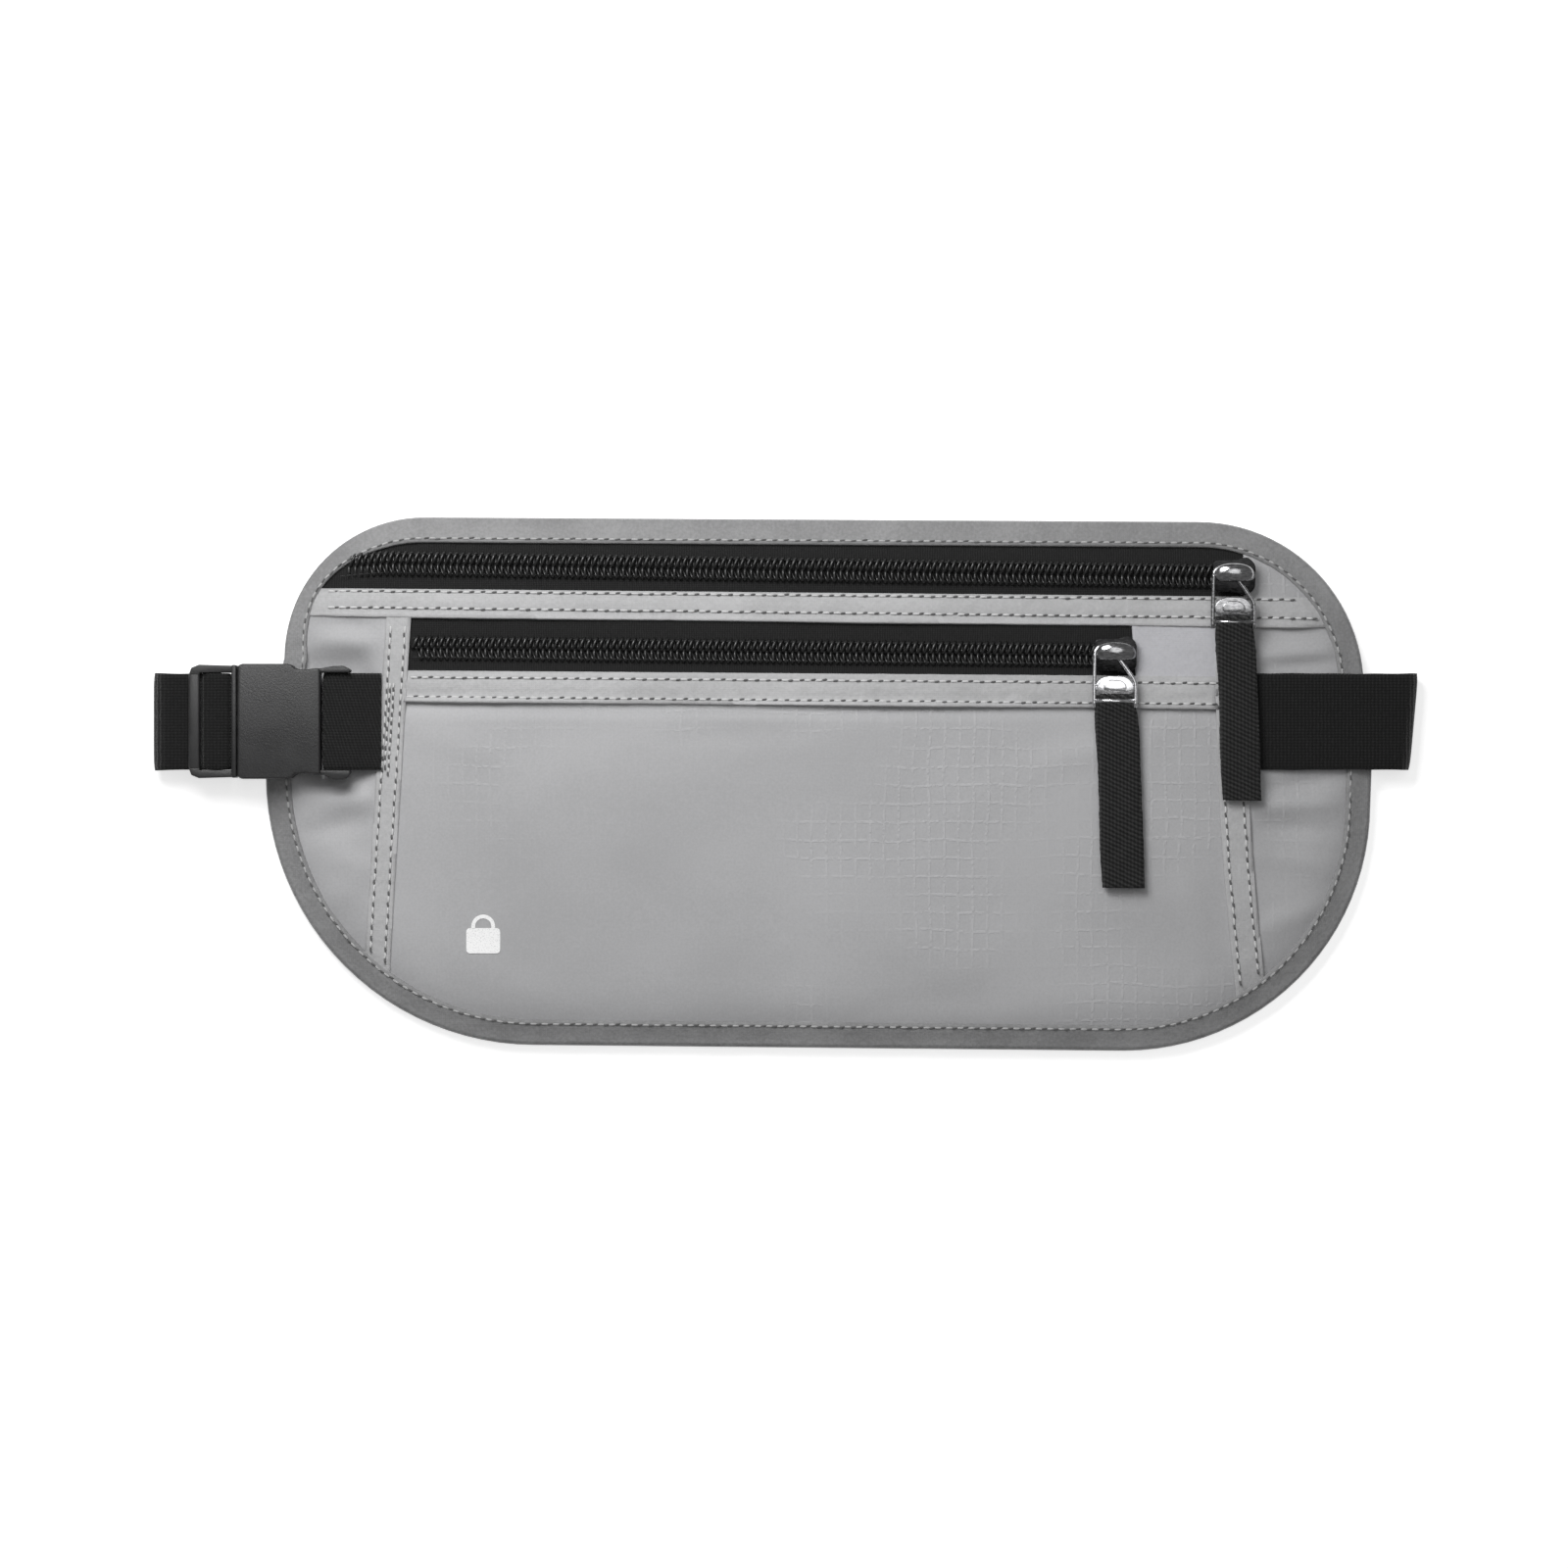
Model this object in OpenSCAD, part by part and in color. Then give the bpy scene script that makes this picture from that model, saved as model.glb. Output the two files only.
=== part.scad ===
// Money belt: a flat zipped waist pouch with two coil zips and an elastic belt.
// Millimetres. The pouch lies on its back: +X to its right, +Y to its top edge, +Z out of its front.
// The origin is on the resting plane, under the middle of the folded belt's length and the pouch's height.

/* [Pouch] */
// Width of the pouch
pouch_w = 285; // [275:1:295]
// Height of the pouch
pouch_h = 139; // [136:1:142]
// Distance from the middle of the folded belt to the middle of the pouch
pouch_x = 9; // [5:0.5:13]
// Radius of the top left corner
top_left_r = 33.5; // [30:0.5:36]
// Radius of the top right corner
top_right_r = 36; // [32:0.5:38]
// Radius of the two bottom corners
bottom_r = 58; // [52:0.5:60]
// How much further in each side stands at the top than at the bottom
top_taper = 2; // [0:0.1:4]
// How far each side bows out
side_bulge = 0.8; // [0:0.1:2]
// Width of the binding tape that shows from the front
binding_w = 6.8; // [5:0.1:8]

/* [Fabric] */
// Thickness of the outer ripstop fabric
panel_t = 0.5; // [0.3:0.05:0.6]
// Thickness of a lining
lining_t = 0.3; // [0.2:0.05:0.3]
// Thickness of the front layer of fabric and zip tape
front_t = 0.6; // [0.4:0.05:0.6]
// Thickness of a folded and stitched strip
strip_t = 0.6; // [0.4:0.05:0.6]

/* [Zips] */
// Angle of the top zip
top_zip_angle = -0.9; // [-1.2:0.1:0]
// Angle of the front zip
front_zip_angle = -0.6; // [-1:0.1:0]
// Where the top slider stands when the zip is closed
top_slider_x = 116.6; // [112:0.1:117]
// Where the front slider stands when the zip is closed
front_slider_x = 85.8; // [80:0.1:86]
// Width of the pull tabs
pull_tab_w = 10.3; // [9:0.1:11]
// Length of the pull tabs below the crossbar
pull_tab_len = 47; // [35:0.5:48]

/* [Belt] */
// Width of the elastic belt
strap_w = 25; // [20:0.5:25]
// Thickness of the elastic belt
strap_t = 1; // [0.8:0.05:1]
// Height of the belt's centre line above the pouch's centre
strap_y = 16.2; // [12:0.1:18]
// Half the length of the folded belt
fold_x = 163.9; // [162:0.1:170]
// Where the loose end of the belt stops behind the pouch
tail_end_x = -70; // [-110:1:-40]

/* [Buckle] */
// Width of the buckle across the belt
buckle_w = 29.8; // [29.6:0.1:31]
// Height of the socket and the plug's flange
buckle_h = 7; // [7:0.1:8]
// Where the socket and the plug meet
buckle_joint_x = -141.4; // [-142:0.1:-141]

/* [Hidden] */
$fn = 48;

// Edges of the pouch
pouch_left = pouch_x - pouch_w / 2;
pouch_right = pouch_x + pouch_w / 2;
pouch_top = pouch_h / 2;
pouch_bottom = -pouch_h / 2;
bulge_y = 8;
// The left end of the bottom edge stands a little higher than the right end, and the top edge falls to the right.
bottom_rise = 1.5;
top_drop = 0.5;
arc_steps = 12;

// Heights of the layers, from the belt's two runs under the pouch up to the strips on its front
run_gap = 0.1;
tail_z = strap_t + run_gap;
back_z = tail_z + strap_t + 0.3;
back_lining_z = back_z + panel_t;
divider_z = back_lining_z + lining_t + 0.3;
front_lining_z = divider_z + lining_t + 0.3;
backing_z = front_lining_z + lining_t;
backing_t = 0.4;
slider_gap = 1.5;
front_z = backing_z + backing_t + slider_gap;
strip_z = front_z + front_t;
binding_top = strip_z + 0.2;

// Seam lines across the front: [height at x = 0, slope]
top_coil_line = [55.75, tan(top_zip_angle)];
top_strip_upper = [49.75, -0.0093];
top_strip_lower = [42.35, -0.0115];
front_coil_line = [34.4, tan(front_zip_angle)];
front_strip_upper = [28.75, -0.0075];
front_strip_lower = [20.65, -0.0094];
top_zip_end_x = 119.1;
front_zip_end_x = 91;

// Seam lines up the front, as points from the top strip down
seam_top_y = 52;
seam_knee_y = -6;
seam_foot_y = -70;
left_strip_left = [[-102.7, seam_top_y], [-106.4, seam_knee_y], [-110.4, seam_foot_y]];
left_strip_right = [[-96.3, seam_top_y], [-99.9, seam_knee_y], [-103.8, seam_foot_y]];
right_strip_left = [[111.4, seam_top_y], [113.2, seam_knee_y], [119.5, seam_foot_y]];
right_strip_right = [[119, seam_top_y], [120.8, seam_knee_y], [127.6, seam_foot_y]];
far = 200;

// Zip coils and sliders
coil_w = 2.1;
coil_h = 1.6;
slot_half = 0.7;
coil_left_top = -108;
coil_left_front = -95;
clear = 0.3;
slider_len = 11;
slider_w = 10;
slider_floor_z = backing_z + backing_t + 0.4;
slider_floor_t = slider_gap - 0.4 - clear;
slider_roof_z = strip_z + coil_h + clear;
slider_roof_t = 1;
flange_drop = 1.1;
crown_r = 0.8;
crown_gap = 2.2;
crown_z = slider_roof_z + slider_roof_t + crown_gap;
post_inner = 2.2;
post_outer = 3.6;
post_w = 2.4;

// Pullers, measured from the crown's axis
puller_z = crown_z - 1.1;
puller_t = 1.3;
puller_w = 11.8;
rail_w = 1;
crossbar_y = -12;
crossbar_r = 0.9;
running = 0.06;
fold_r = 1.75;
pull_tab_t = 1.6;

// Belt levels
right_run_z = binding_top + run_gap;
right_fold_r = (right_run_z + strap_t) / 2;
upper_tail_z = binding_top + 0.2;
upper_run_z = upper_tail_z + strap_t + run_gap;
left_fold_r = (upper_run_z + strap_t) / 2;
split = 1;
right_run_start_x = 121;

// Buckle, with x from where the plug and the socket meet
buckle_z = binding_top + 0.3;
wall = 1.4;
side_wall = 1.6;
socket_len = 21.4;
socket_depth = 17.8;
rail_len = 27.3;
prong_z = buckle_z + wall + 0.3;
prong_h = buckle_h - 2 * wall - 0.6;
latch_start = 9.7;
latch_end = 15.9;
latch_gap = 0.2;
arm_pivot_x = 1.3;
arm_pivot_y = 9;
arm_r = 1.2;

function arc(centre, r, from, to) =
    [for (i = [0 : arc_steps]) let (a = from + (to - from) * i / arc_steps) centre + r * [cos(a), sin(a)]];

function outline(inset) = concat(
    arc([pouch_left + top_taper + top_left_r, pouch_top - top_left_r], top_left_r - inset, 90, 180),
    [[pouch_left - side_bulge + inset, bulge_y]],
    arc([pouch_left + bottom_r, pouch_bottom + bottom_rise + bottom_r], bottom_r - inset, 180, 270),
    arc([pouch_right - bottom_r, pouch_bottom + bottom_r], bottom_r - inset, 270, 360),
    [[pouch_right + side_bulge - inset, bulge_y]],
    arc([pouch_right - top_taper - top_right_r, pouch_top - top_drop - top_right_r], top_right_r - inset, 0, 90)
);

function on_line(line, x, up = 0) = [x, line[0] + line[1] * x + up];
function between(a, b) = (a + b) / 2;
function reversed(points) = [for (i = [len(points) - 1 : -1 : 0]) points[i]];
function unit(v) = v / norm(v);
function left_of(v) = [-v[1], v[0]];

// The mitred normal of a path at point i
function mitre(path, i) =
    let (
        before = left_of(unit(path[max(i, 1)] - path[max(i, 1) - 1])),
        after = left_of(unit(path[min(i, len(path) - 2) + 1] - path[min(i, len(path) - 2)])),
        middle = unit(before + after)
    )
    middle / (middle * before);

// The outline of a band of thickness t along a path
function band(path, t) = concat(
    [for (i = [0 : len(path) - 1]) path[i] + mitre(path, i) * t / 2],
    reversed([for (i = [0 : len(path) - 1]) path[i] - mitre(path, i) * t / 2])
);

module plate(z, t, inset) {
    translate([0, 0, z]) linear_extrude(t) polygon(outline(inset));
}

// A cut piece of the pouch's face, inside the binding
module cut_piece(z, t, points) {
    intersection() {
        plate(z, t, binding_w);
        translate([0, 0, z - 1]) linear_extrude(t + 2) polygon(points);
    }
}

// A band that runs in the XZ plane, w wide along Y
module strap_band(path, t, w) {
    translate([0, strap_y + w / 2, 0]) rotate([90, 0, 0]) linear_extrude(w) polygon(band(path, t));
}

// Children drawn along a zip, from its point at x = 0
module along_zip(line) {
    translate([0, line[0], 0]) rotate([0, 0, atan(line[1])]) children();
}

module layer(z, t, tint) {
    color(tint) plate(z, t, binding_w);
}

module back_panel() layer(back_z, panel_t, "darkgray");
module back_lining() layer(back_lining_z, lining_t, "silver");
module pocket_divider() layer(divider_z, lining_t, "gray");
module front_lining() layer(front_lining_z, lining_t, "silver");
module pocket_backing() layer(backing_z, backing_t, "darkgray");

top_seam = between(top_strip_upper, top_strip_lower);
front_seam = between(front_strip_upper, front_strip_lower);
left_seam = between(left_strip_left, left_strip_right);
right_seam = between(right_strip_left, right_strip_right);

// The part of a side seam below a line across the front
function below(seam, line) = concat(
    [on_line(line, seam[0][0] + (seam[1][0] - seam[0][0]) * (seam[0][1] - line[0]) / (seam[0][1] - seam[1][1]))],
    [for (p = seam) if (p[1] < line[0] - 2) p]
);

module front_pocket_panel() {
    color("darkgray")
        cut_piece(front_z, front_t, concat(below(left_seam, front_seam), reversed(below(right_seam, front_seam))));
}

module left_side_panel() {
    color("darkgray")
        cut_piece(front_z, front_t,
            concat([on_line(top_seam, -far)], below(left_seam, top_seam), [[-far, seam_foot_y]]));
}

module right_side_panel() {
    color("darkgray")
        cut_piece(front_z, front_t,
            concat([on_line(top_seam, far)], below(right_seam, top_seam), [[far, seam_foot_y]]));
}

module edge_binding() {
    notch_w = strap_w + 0.8;
    color("gray") difference() {
        plate(0, binding_top, 0);
        plate(-1, binding_top + 2, binding_w);
        translate([-far, strap_y - notch_w / 2, -1]) cube([2 * far, notch_w, back_z + 1]);
    }
}

module tape(lower_line, lower_up, upper_line, upper_up, from_x, to_x) {
    color("#222222") cut_piece(front_z, front_t, [
        on_line(lower_line, from_x, lower_up),
        on_line(lower_line, to_x, lower_up),
        on_line(upper_line, to_x, upper_up),
        on_line(upper_line, from_x, upper_up)
    ]);
}

module top_zip_upper_tape() tape(top_coil_line, slot_half, top_coil_line, far, -far, top_zip_end_x);
module top_zip_lower_tape() tape(top_seam, 0, top_coil_line, -slot_half, -far, top_zip_end_x);

module front_tape(lower_line, lower_up, upper_line, upper_up) {
    intersection() {
        tape(lower_line, lower_up, upper_line, upper_up, -far, front_zip_end_x);
        translate([0, 0, front_z - 1])
            linear_extrude(front_t + 2) polygon(concat(left_seam, [[far, seam_foot_y], [far, seam_top_y]]));
    }
}

module front_zip_upper_tape() front_tape(front_coil_line, slot_half, top_seam, 0);
module front_zip_lower_tape() front_tape(front_seam, 0, front_coil_line, -slot_half);

module coil(line, side, from_x, to_x) {
    profile = [[slot_half, 0], [slot_half, 1.2], [slot_half + 0.5, coil_h], [slot_half + 1.6, coil_h],
        [slot_half + coil_w, 1.1], [slot_half + coil_w, 0]];
    color("#1a1a1a") along_zip(line)
        translate([from_x, 0, strip_z]) rotate([90, 0, 90]) linear_extrude(to_x - from_x)
            polygon([for (p = profile) [side * p[0], p[1]]]);
}

module top_zip_upper_coil() coil(top_coil_line, 1, coil_left_top, top_zip_end_x - 1);
module top_zip_lower_coil() coil(top_coil_line, -1, coil_left_top, top_zip_end_x - 1);
module front_zip_upper_coil() coil(front_coil_line, 1, coil_left_front, front_zip_end_x - 1);
module front_zip_lower_coil() coil(front_coil_line, -1, coil_left_front, front_zip_end_x - 1);

module top_facing_strip() {
    color("lightgray") cut_piece(strip_z, strip_t, [
        on_line(top_strip_lower, -far), on_line(top_strip_lower, far),
        on_line(top_strip_upper, far), on_line(top_strip_upper, -far)
    ]);
}

module front_facing_strip() {
    color("lightgray") intersection() {
        cut_piece(strip_z, strip_t, concat(left_strip_right, reversed(right_strip_left)));
        translate([0, 0, strip_z - 1]) linear_extrude(strip_t + 2) polygon([
            on_line(front_strip_lower, -far), on_line(front_strip_lower, far),
            on_line(front_strip_upper, far), on_line(front_strip_upper, -far)
        ]);
    }
}

module side_strip(left_edge, right_edge) {
    color("lightgray")
        cut_piece(strip_z, strip_t,
            concat(below(left_edge, top_strip_lower), reversed(below(right_edge, top_strip_lower))));
}

module left_side_strip() side_strip(left_strip_left, left_strip_right);
module right_side_strip() side_strip(right_strip_left, right_strip_right);

module top_zip_end_cover() {
    color("lightsteelblue") cut_piece(front_z, front_t, [
        on_line(top_seam, top_zip_end_x), on_line(top_seam, far), [far, far], [top_zip_end_x, far]
    ]);
}

module front_zip_end_cover() {
    cover_seam = below(right_seam, top_seam);
    color("lightsteelblue") cut_piece(front_z, front_t, [
        on_line(top_seam, front_zip_end_x), cover_seam[0], below(right_seam, front_seam)[0],
        on_line(front_seam, front_zip_end_x)
    ]);
}

// A plain padlock print
module printed_badge() {
    badge = [-78.1, -38.6, strip_z];
    badge_t = 0.1;
    color("white") translate(badge) linear_extrude(badge_t) {
        translate([-4.5, -6]) square([9, 7]);
        difference() {
            translate([0, 1]) circle(3.6);
            translate([0, 1]) circle(2.3);
            translate([-5, -4]) square([10, 4.9]);
        }
    }
}

module slider(line, x) {
    half = slider_len / 2;
    narrow = 3.9;
    wide = slider_w / 2;
    upper_edge = [[-half, narrow - 0.8], [-half + 0.8, narrow], [1, narrow], [3.2, wide], [half, wide - 2]];
    shield = concat(upper_edge, reversed([for (p = upper_edge) [p[0], -p[1]]]));
    color("#55565a") along_zip(line) translate([x, 0, 0]) {
        translate([0, 0, slider_floor_z]) linear_extrude(slider_floor_t) polygon(shield);
        translate([0, 0, slider_roof_z]) linear_extrude(slider_roof_t) polygon(shield);
        translate([-1, -slot_half + clear, slider_floor_z])
            cube([2.5, 2 * (slot_half - clear), slider_roof_z - slider_floor_z + slider_roof_t / 2]);
        for (side = [-1, 1]) {
            translate([-half + 0.9, side * 3.5 - 0.35, slider_roof_z - flange_drop])
                cube([5, 0.7, flange_drop + slider_roof_t / 2]);
            translate([side * (post_inner + post_outer) / 2, 0, slider_roof_z + slider_roof_t / 2])
                translate([-(post_outer - post_inner) / 2, -post_w / 2, 0])
                    cube([post_outer - post_inner, post_w, crown_gap + slider_roof_t / 2]);
        }
        translate([-post_outer, 0, crown_z]) rotate([0, 90, 0]) cylinder(r = crown_r, h = 2 * post_outer);
    }
}

module top_slider() slider(top_coil_line, top_slider_x);
module front_slider() slider(front_coil_line, front_slider_x);

module puller(line, x) {
    eye_len = 2 * (post_inner - clear);
    plate_points = [[-1.9, -1], [-1.9, -3], [-puller_w / 2, -6], [-puller_w / 2, -9.6],
        [puller_w / 2, -9.6], [puller_w / 2, -6], [1.9, -3], [1.9, -1]];
    color("#c8c8cc") along_zip(line) translate([x, 0, 0]) difference() {
        union() {
            translate([-eye_len / 2, 0, crown_z]) rotate([0, 90, 0]) cylinder(r = 1.5, h = eye_len);
            translate([0, 0, puller_z - puller_t / 2]) linear_extrude(puller_t) polygon(plate_points);
            for (side = [-1, 1])
                translate([side * (puller_w - rail_w) / 2 - rail_w / 2, -14, puller_z - puller_t / 2])
                    cube([rail_w, 6, puller_t]);
            translate([-puller_w / 2, crossbar_y, puller_z])
                rotate([0, 90, 0]) cylinder(r = crossbar_r, h = puller_w);
        }
        translate([-eye_len, 0, crown_z]) rotate([0, 90, 0]) cylinder(r = crown_r + running, h = 2 * eye_len);
    }
}

module top_puller() puller(top_coil_line, top_slider_x);
module front_puller() puller(front_coil_line, front_slider_x);

// A webbing tab folded round the crossbar, hanging down the front of the pouch
module pull_tab(line, x) {
    slot_w = puller_w - 2 * rail_w - 0.6;
    neck_len = 3.5;
    droop = 1.6;
    path = [[-1.2, -0.2], [-neck_len, -droop], [-pull_tab_len, -droop]];
    color("#1c1c1e") along_zip(line) translate([x, crossbar_y, puller_z]) difference() {
        union() {
            translate([-slot_w / 2, 0, 0]) rotate([0, 90, 0]) cylinder(r = fold_r, h = slot_w);
            translate([-slot_w / 2, 0, 0]) rotate([90, 0, 90]) linear_extrude(slot_w) polygon(band(path, pull_tab_t));
            translate([-pull_tab_w / 2, -pull_tab_len, -droop - pull_tab_t / 2])
                cube([pull_tab_w, pull_tab_len - neck_len, pull_tab_t]);
        }
        translate([-slot_w, 0, 0]) rotate([0, 90, 0]) cylinder(r = crossbar_r + running, h = 2 * slot_w);
    }
}

module top_pull_tab() pull_tab(top_coil_line, top_slider_x);
module front_pull_tab() pull_tab(front_coil_line, front_slider_x);

// Webbing looped round the socket's bar, with both ends under the left side strip
module buckle_tab() {
    end_x = -106.2;
    bar_x = buckle_joint_x + rail_len - 1.3;
    low_z = strip_z + 0.1 + strap_t / 2;
    under_z = buckle_z + 1.2;
    over_z = under_z + 2.6;
    path = [[end_x, low_z], [end_x - 3.8, low_z], [bar_x + 1.9, under_z], [bar_x - 1.9, under_z],
        [bar_x - 1.9, over_z], [bar_x + 1.9, over_z], [end_x - 3.1, low_z + strap_t + run_gap],
        [end_x, low_z + strap_t + run_gap]];
    color("#1c1c1e") strap_band(path, strap_t, strap_w);
}

module buckle_box(x, y_half, z, size_x, size_z) {
    translate([buckle_joint_x + x, strap_y - y_half, z]) cube([size_x, 2 * y_half, size_z]);
}

module buckle_socket() {
    half = buckle_w / 2;
    rail_half = half - 0.5;
    color("#3c3d40") difference() {
        union() {
            buckle_box(0.1, half, buckle_z, socket_len, buckle_h);
            difference() {
                buckle_box(socket_len - 1, rail_half, buckle_z + 1, rail_len - socket_len + 1, buckle_h - 2);
                buckle_box(socket_len, strap_w / 2 + 0.2, 0, rail_len, far);
            }
            buckle_box(rail_len - 2.6, rail_half - 1, buckle_z + 1.8, 2.6, 1.4);
        }
        buckle_box(-1, half - side_wall, buckle_z + wall, socket_depth + 1, buckle_h - 2 * wall);
        buckle_box(latch_start, half + 1, buckle_z + wall, latch_end - latch_start, buckle_h - 2 * wall);
    }
}

// Frame with the adjusting bars, flange and centre guide
module buckle_plug() {
    half = buckle_w / 2;
    frame_z = upper_run_z + 0.2;
    bar_z = upper_run_z + strap_t + 0.2;
    color("#343538") {
        difference() {
            buckle_box(-12.6, half, frame_z, 12.6, 4);
            buckle_box(-13, strap_w / 2 + 0.2, 0, 11.6, far);
        }
        buckle_box(-12.6, half - 1, bar_z, 2.8, 2.8);
        buckle_box(-7, half - 1, bar_z - 0.1, 2.6, 1.4);
        buckle_box(-1.5, half, buckle_z, 1.4, buckle_h);
        buckle_box(-0.5, 2, prong_z, 17.5, prong_h);
        for (side = [-1, 1]) difference() {
            translate([buckle_joint_x - 0.5, strap_y + side * arm_pivot_y - 1.8, prong_z])
                cube([0.5 + arm_pivot_x, 3.6, prong_h]);
            arm_pivot(side, arm_r + running);
        }
    }
}

module arm_pivot(side, r) {
    translate([buckle_joint_x + arm_pivot_x, strap_y + side * arm_pivot_y, prong_z]) cylinder(r = r, h = prong_h);
}

module buckle_arm(side) {
    latch_half = buckle_w / 2 - 0.1;
    points = [[0, 0.8], [latch_start - arm_pivot_x + latch_gap, 1.8],
        [latch_start - arm_pivot_x + latch_gap, latch_half - arm_pivot_y],
        [latch_start - arm_pivot_x + 3.6, latch_half - arm_pivot_y],
        [latch_end - arm_pivot_x - latch_gap, 3], [latch_end - arm_pivot_x - 0.8, 0.6], [0, -0.8]];
    color("#343538") {
        arm_pivot(side, arm_r);
        translate([buckle_joint_x + arm_pivot_x, strap_y + side * arm_pivot_y, prong_z])
            linear_extrude(prong_h) polygon([for (p = points) [p[0], side * p[1]]]);
    }
}

module buckle_arm_upper() buckle_arm(1);
module buckle_arm_lower() buckle_arm(-1);

// From the right side strip over the binding, round the right fold and back behind the pouch
module strap_right_run() {
    fold_centre = [fold_x - right_fold_r, right_fold_r];
    path = concat(
        [[right_run_start_x, right_run_z + strap_t / 2]],
        arc(fold_centre, right_fold_r - strap_t / 2, 90, -90),
        [[split, strap_t / 2]]
    );
    color("#1a1a1a") strap_band(path, strap_t, strap_w);
}

// From behind the pouch round the left fold, over the plug's bar and back as the loose tail
module strap_left_run() {
    fold_centre = [left_fold_r - fold_x, left_fold_r];
    wrap_left = buckle_joint_x - 7.6;
    wrap_right = buckle_joint_x - 3.8;
    wrap_z = upper_run_z + strap_t + 2;
    path = concat(
        [[-split, strap_t / 2]],
        arc(fold_centre, left_fold_r - strap_t / 2, 270, 90),
        [[wrap_left, upper_run_z + strap_t / 2], [wrap_left, wrap_z], [wrap_right, wrap_z],
            [wrap_right, upper_tail_z + strap_t / 2]],
        arc(fold_centre, left_fold_r - run_gap - 1.5 * strap_t, 90, 270),
        [[tail_end_x, tail_z + strap_t / 2]]
    );
    color("#1a1a1a") strap_band(path, strap_t, strap_w);
}

back_panel();
back_lining();
pocket_divider();
front_lining();
pocket_backing();
front_pocket_panel();
left_side_panel();
right_side_panel();
edge_binding();
top_zip_upper_tape();
top_zip_lower_tape();
top_zip_upper_coil();
top_zip_lower_coil();
front_zip_upper_tape();
front_zip_lower_tape();
front_zip_upper_coil();
front_zip_lower_coil();
top_facing_strip();
front_facing_strip();
left_side_strip();
right_side_strip();
top_zip_end_cover();
front_zip_end_cover();
printed_badge();
top_slider();
top_puller();
top_pull_tab();
front_slider();
front_puller();
front_pull_tab();
buckle_tab();
buckle_socket();
buckle_plug();
buckle_arm_upper();
buckle_arm_lower();
strap_right_run();
strap_left_run();
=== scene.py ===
"""The look of a money belt: ripstop pouch, two coil zips, elastic belt and side-release buckle."""
import math

import bmesh
import bpy
import numpy as np
from mathutils import Matrix, Vector, noise


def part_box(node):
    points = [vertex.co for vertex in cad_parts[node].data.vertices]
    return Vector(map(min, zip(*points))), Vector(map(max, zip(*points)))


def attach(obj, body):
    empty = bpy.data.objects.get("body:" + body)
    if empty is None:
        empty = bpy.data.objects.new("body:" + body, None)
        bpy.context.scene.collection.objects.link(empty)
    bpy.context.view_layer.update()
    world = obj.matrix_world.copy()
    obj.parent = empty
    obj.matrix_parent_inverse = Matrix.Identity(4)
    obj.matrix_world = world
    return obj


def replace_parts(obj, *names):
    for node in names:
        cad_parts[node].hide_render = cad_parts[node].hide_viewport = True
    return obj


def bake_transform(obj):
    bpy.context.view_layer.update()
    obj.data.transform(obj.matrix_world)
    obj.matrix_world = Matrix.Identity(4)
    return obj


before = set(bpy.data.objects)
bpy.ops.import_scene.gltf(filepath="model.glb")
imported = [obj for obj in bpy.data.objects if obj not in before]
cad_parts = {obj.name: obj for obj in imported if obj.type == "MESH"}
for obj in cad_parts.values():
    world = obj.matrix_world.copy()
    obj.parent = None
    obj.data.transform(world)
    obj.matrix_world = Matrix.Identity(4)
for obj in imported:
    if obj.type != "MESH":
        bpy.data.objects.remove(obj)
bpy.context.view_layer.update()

MM = 0.001


def box_mm(node):
    """The lowest and highest corners of a node, in millimetres."""
    low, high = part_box(node)
    return [v / MM for v in low], [v / MM for v in high]


# ---- Driving dimensions, in millimetres -------------------------------------------------------

BINDING_W = 6.8
# The outline: its corner radii, and how far its sides and ends stand off a plain box
TOP_LEFT_R = 36.5
TOP_RIGHT_R = 43.0
BOTTOM_LEFT_R = 70.0
BOTTOM_RIGHT_R = 64.0
LEFT_TAPER = 3.4
RIGHT_TAPER = 0.6
SIDE_BULGE = 0.8
LEFT_SWELL = 1.4
RIGHT_SWELL = 1.2
LEFT_BULGE = 0.4
RIGHT_BULGE = 0.3
BULGE_Y = 6.0
BOTTOM_RISE = 1.5
TOP_DROP = 1.2
(LEFT, BOTTOM, _), (RIGHT, TOP, _) = box_mm("edge_binding")
LEFT += SIDE_BULGE
RIGHT -= SIDE_BULGE
FRONT_Z = box_mm("front_pocket_panel")[1][2]
BACK_Z = box_mm("back_panel")[0][2]
STRAP_LOW, STRAP_HIGH = box_mm("strap_right_run")
STRAP_Y = (STRAP_LOW[1] + STRAP_HIGH[1]) / 2
STRAP_W = STRAP_HIGH[1] - STRAP_LOW[1]
STRAP_T = 1.0

# Seam lines across the front: height at x = 0, and slope
TOP_COIL = (55.75, math.tan(math.radians(-0.9)))
TOP_STRIP_UPPER = (49.75, -0.0093)
TOP_STRIP_LOWER = (42.35, -0.0115)
FRONT_COIL = (34.4, math.tan(math.radians(-0.6)))
FRONT_STRIP_UPPER = (28.75, -0.0075)
FRONT_STRIP_LOWER = (20.65, -0.0094)
# Seams up the front: x at y = 0, and how far x moves for each millimetre of y
LEFT_STRIP_LEFT = (-106.0, 0.0634)
LEFT_STRIP_RIGHT = (-99.5, 0.0617)
RIGHT_STRIP_LEFT = (114.9, -0.066)
RIGHT_STRIP_RIGHT = (122.6, -0.070)
RIGHT_BEND = -2.2
TOP_ZIP_END_X = 119.4
FRONT_ZIP_END_X = 91.0


# ---- The pouch's outline and surfaces ---------------------------------------------------------


def arc(x, y, r, start, end, steps):
    """Points on an arc, ends included, angles in degrees."""
    angles = np.radians(np.linspace(start, end, steps + 1))
    return [(x + r * math.cos(a), y + r * math.sin(a)) for a in angles]


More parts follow.
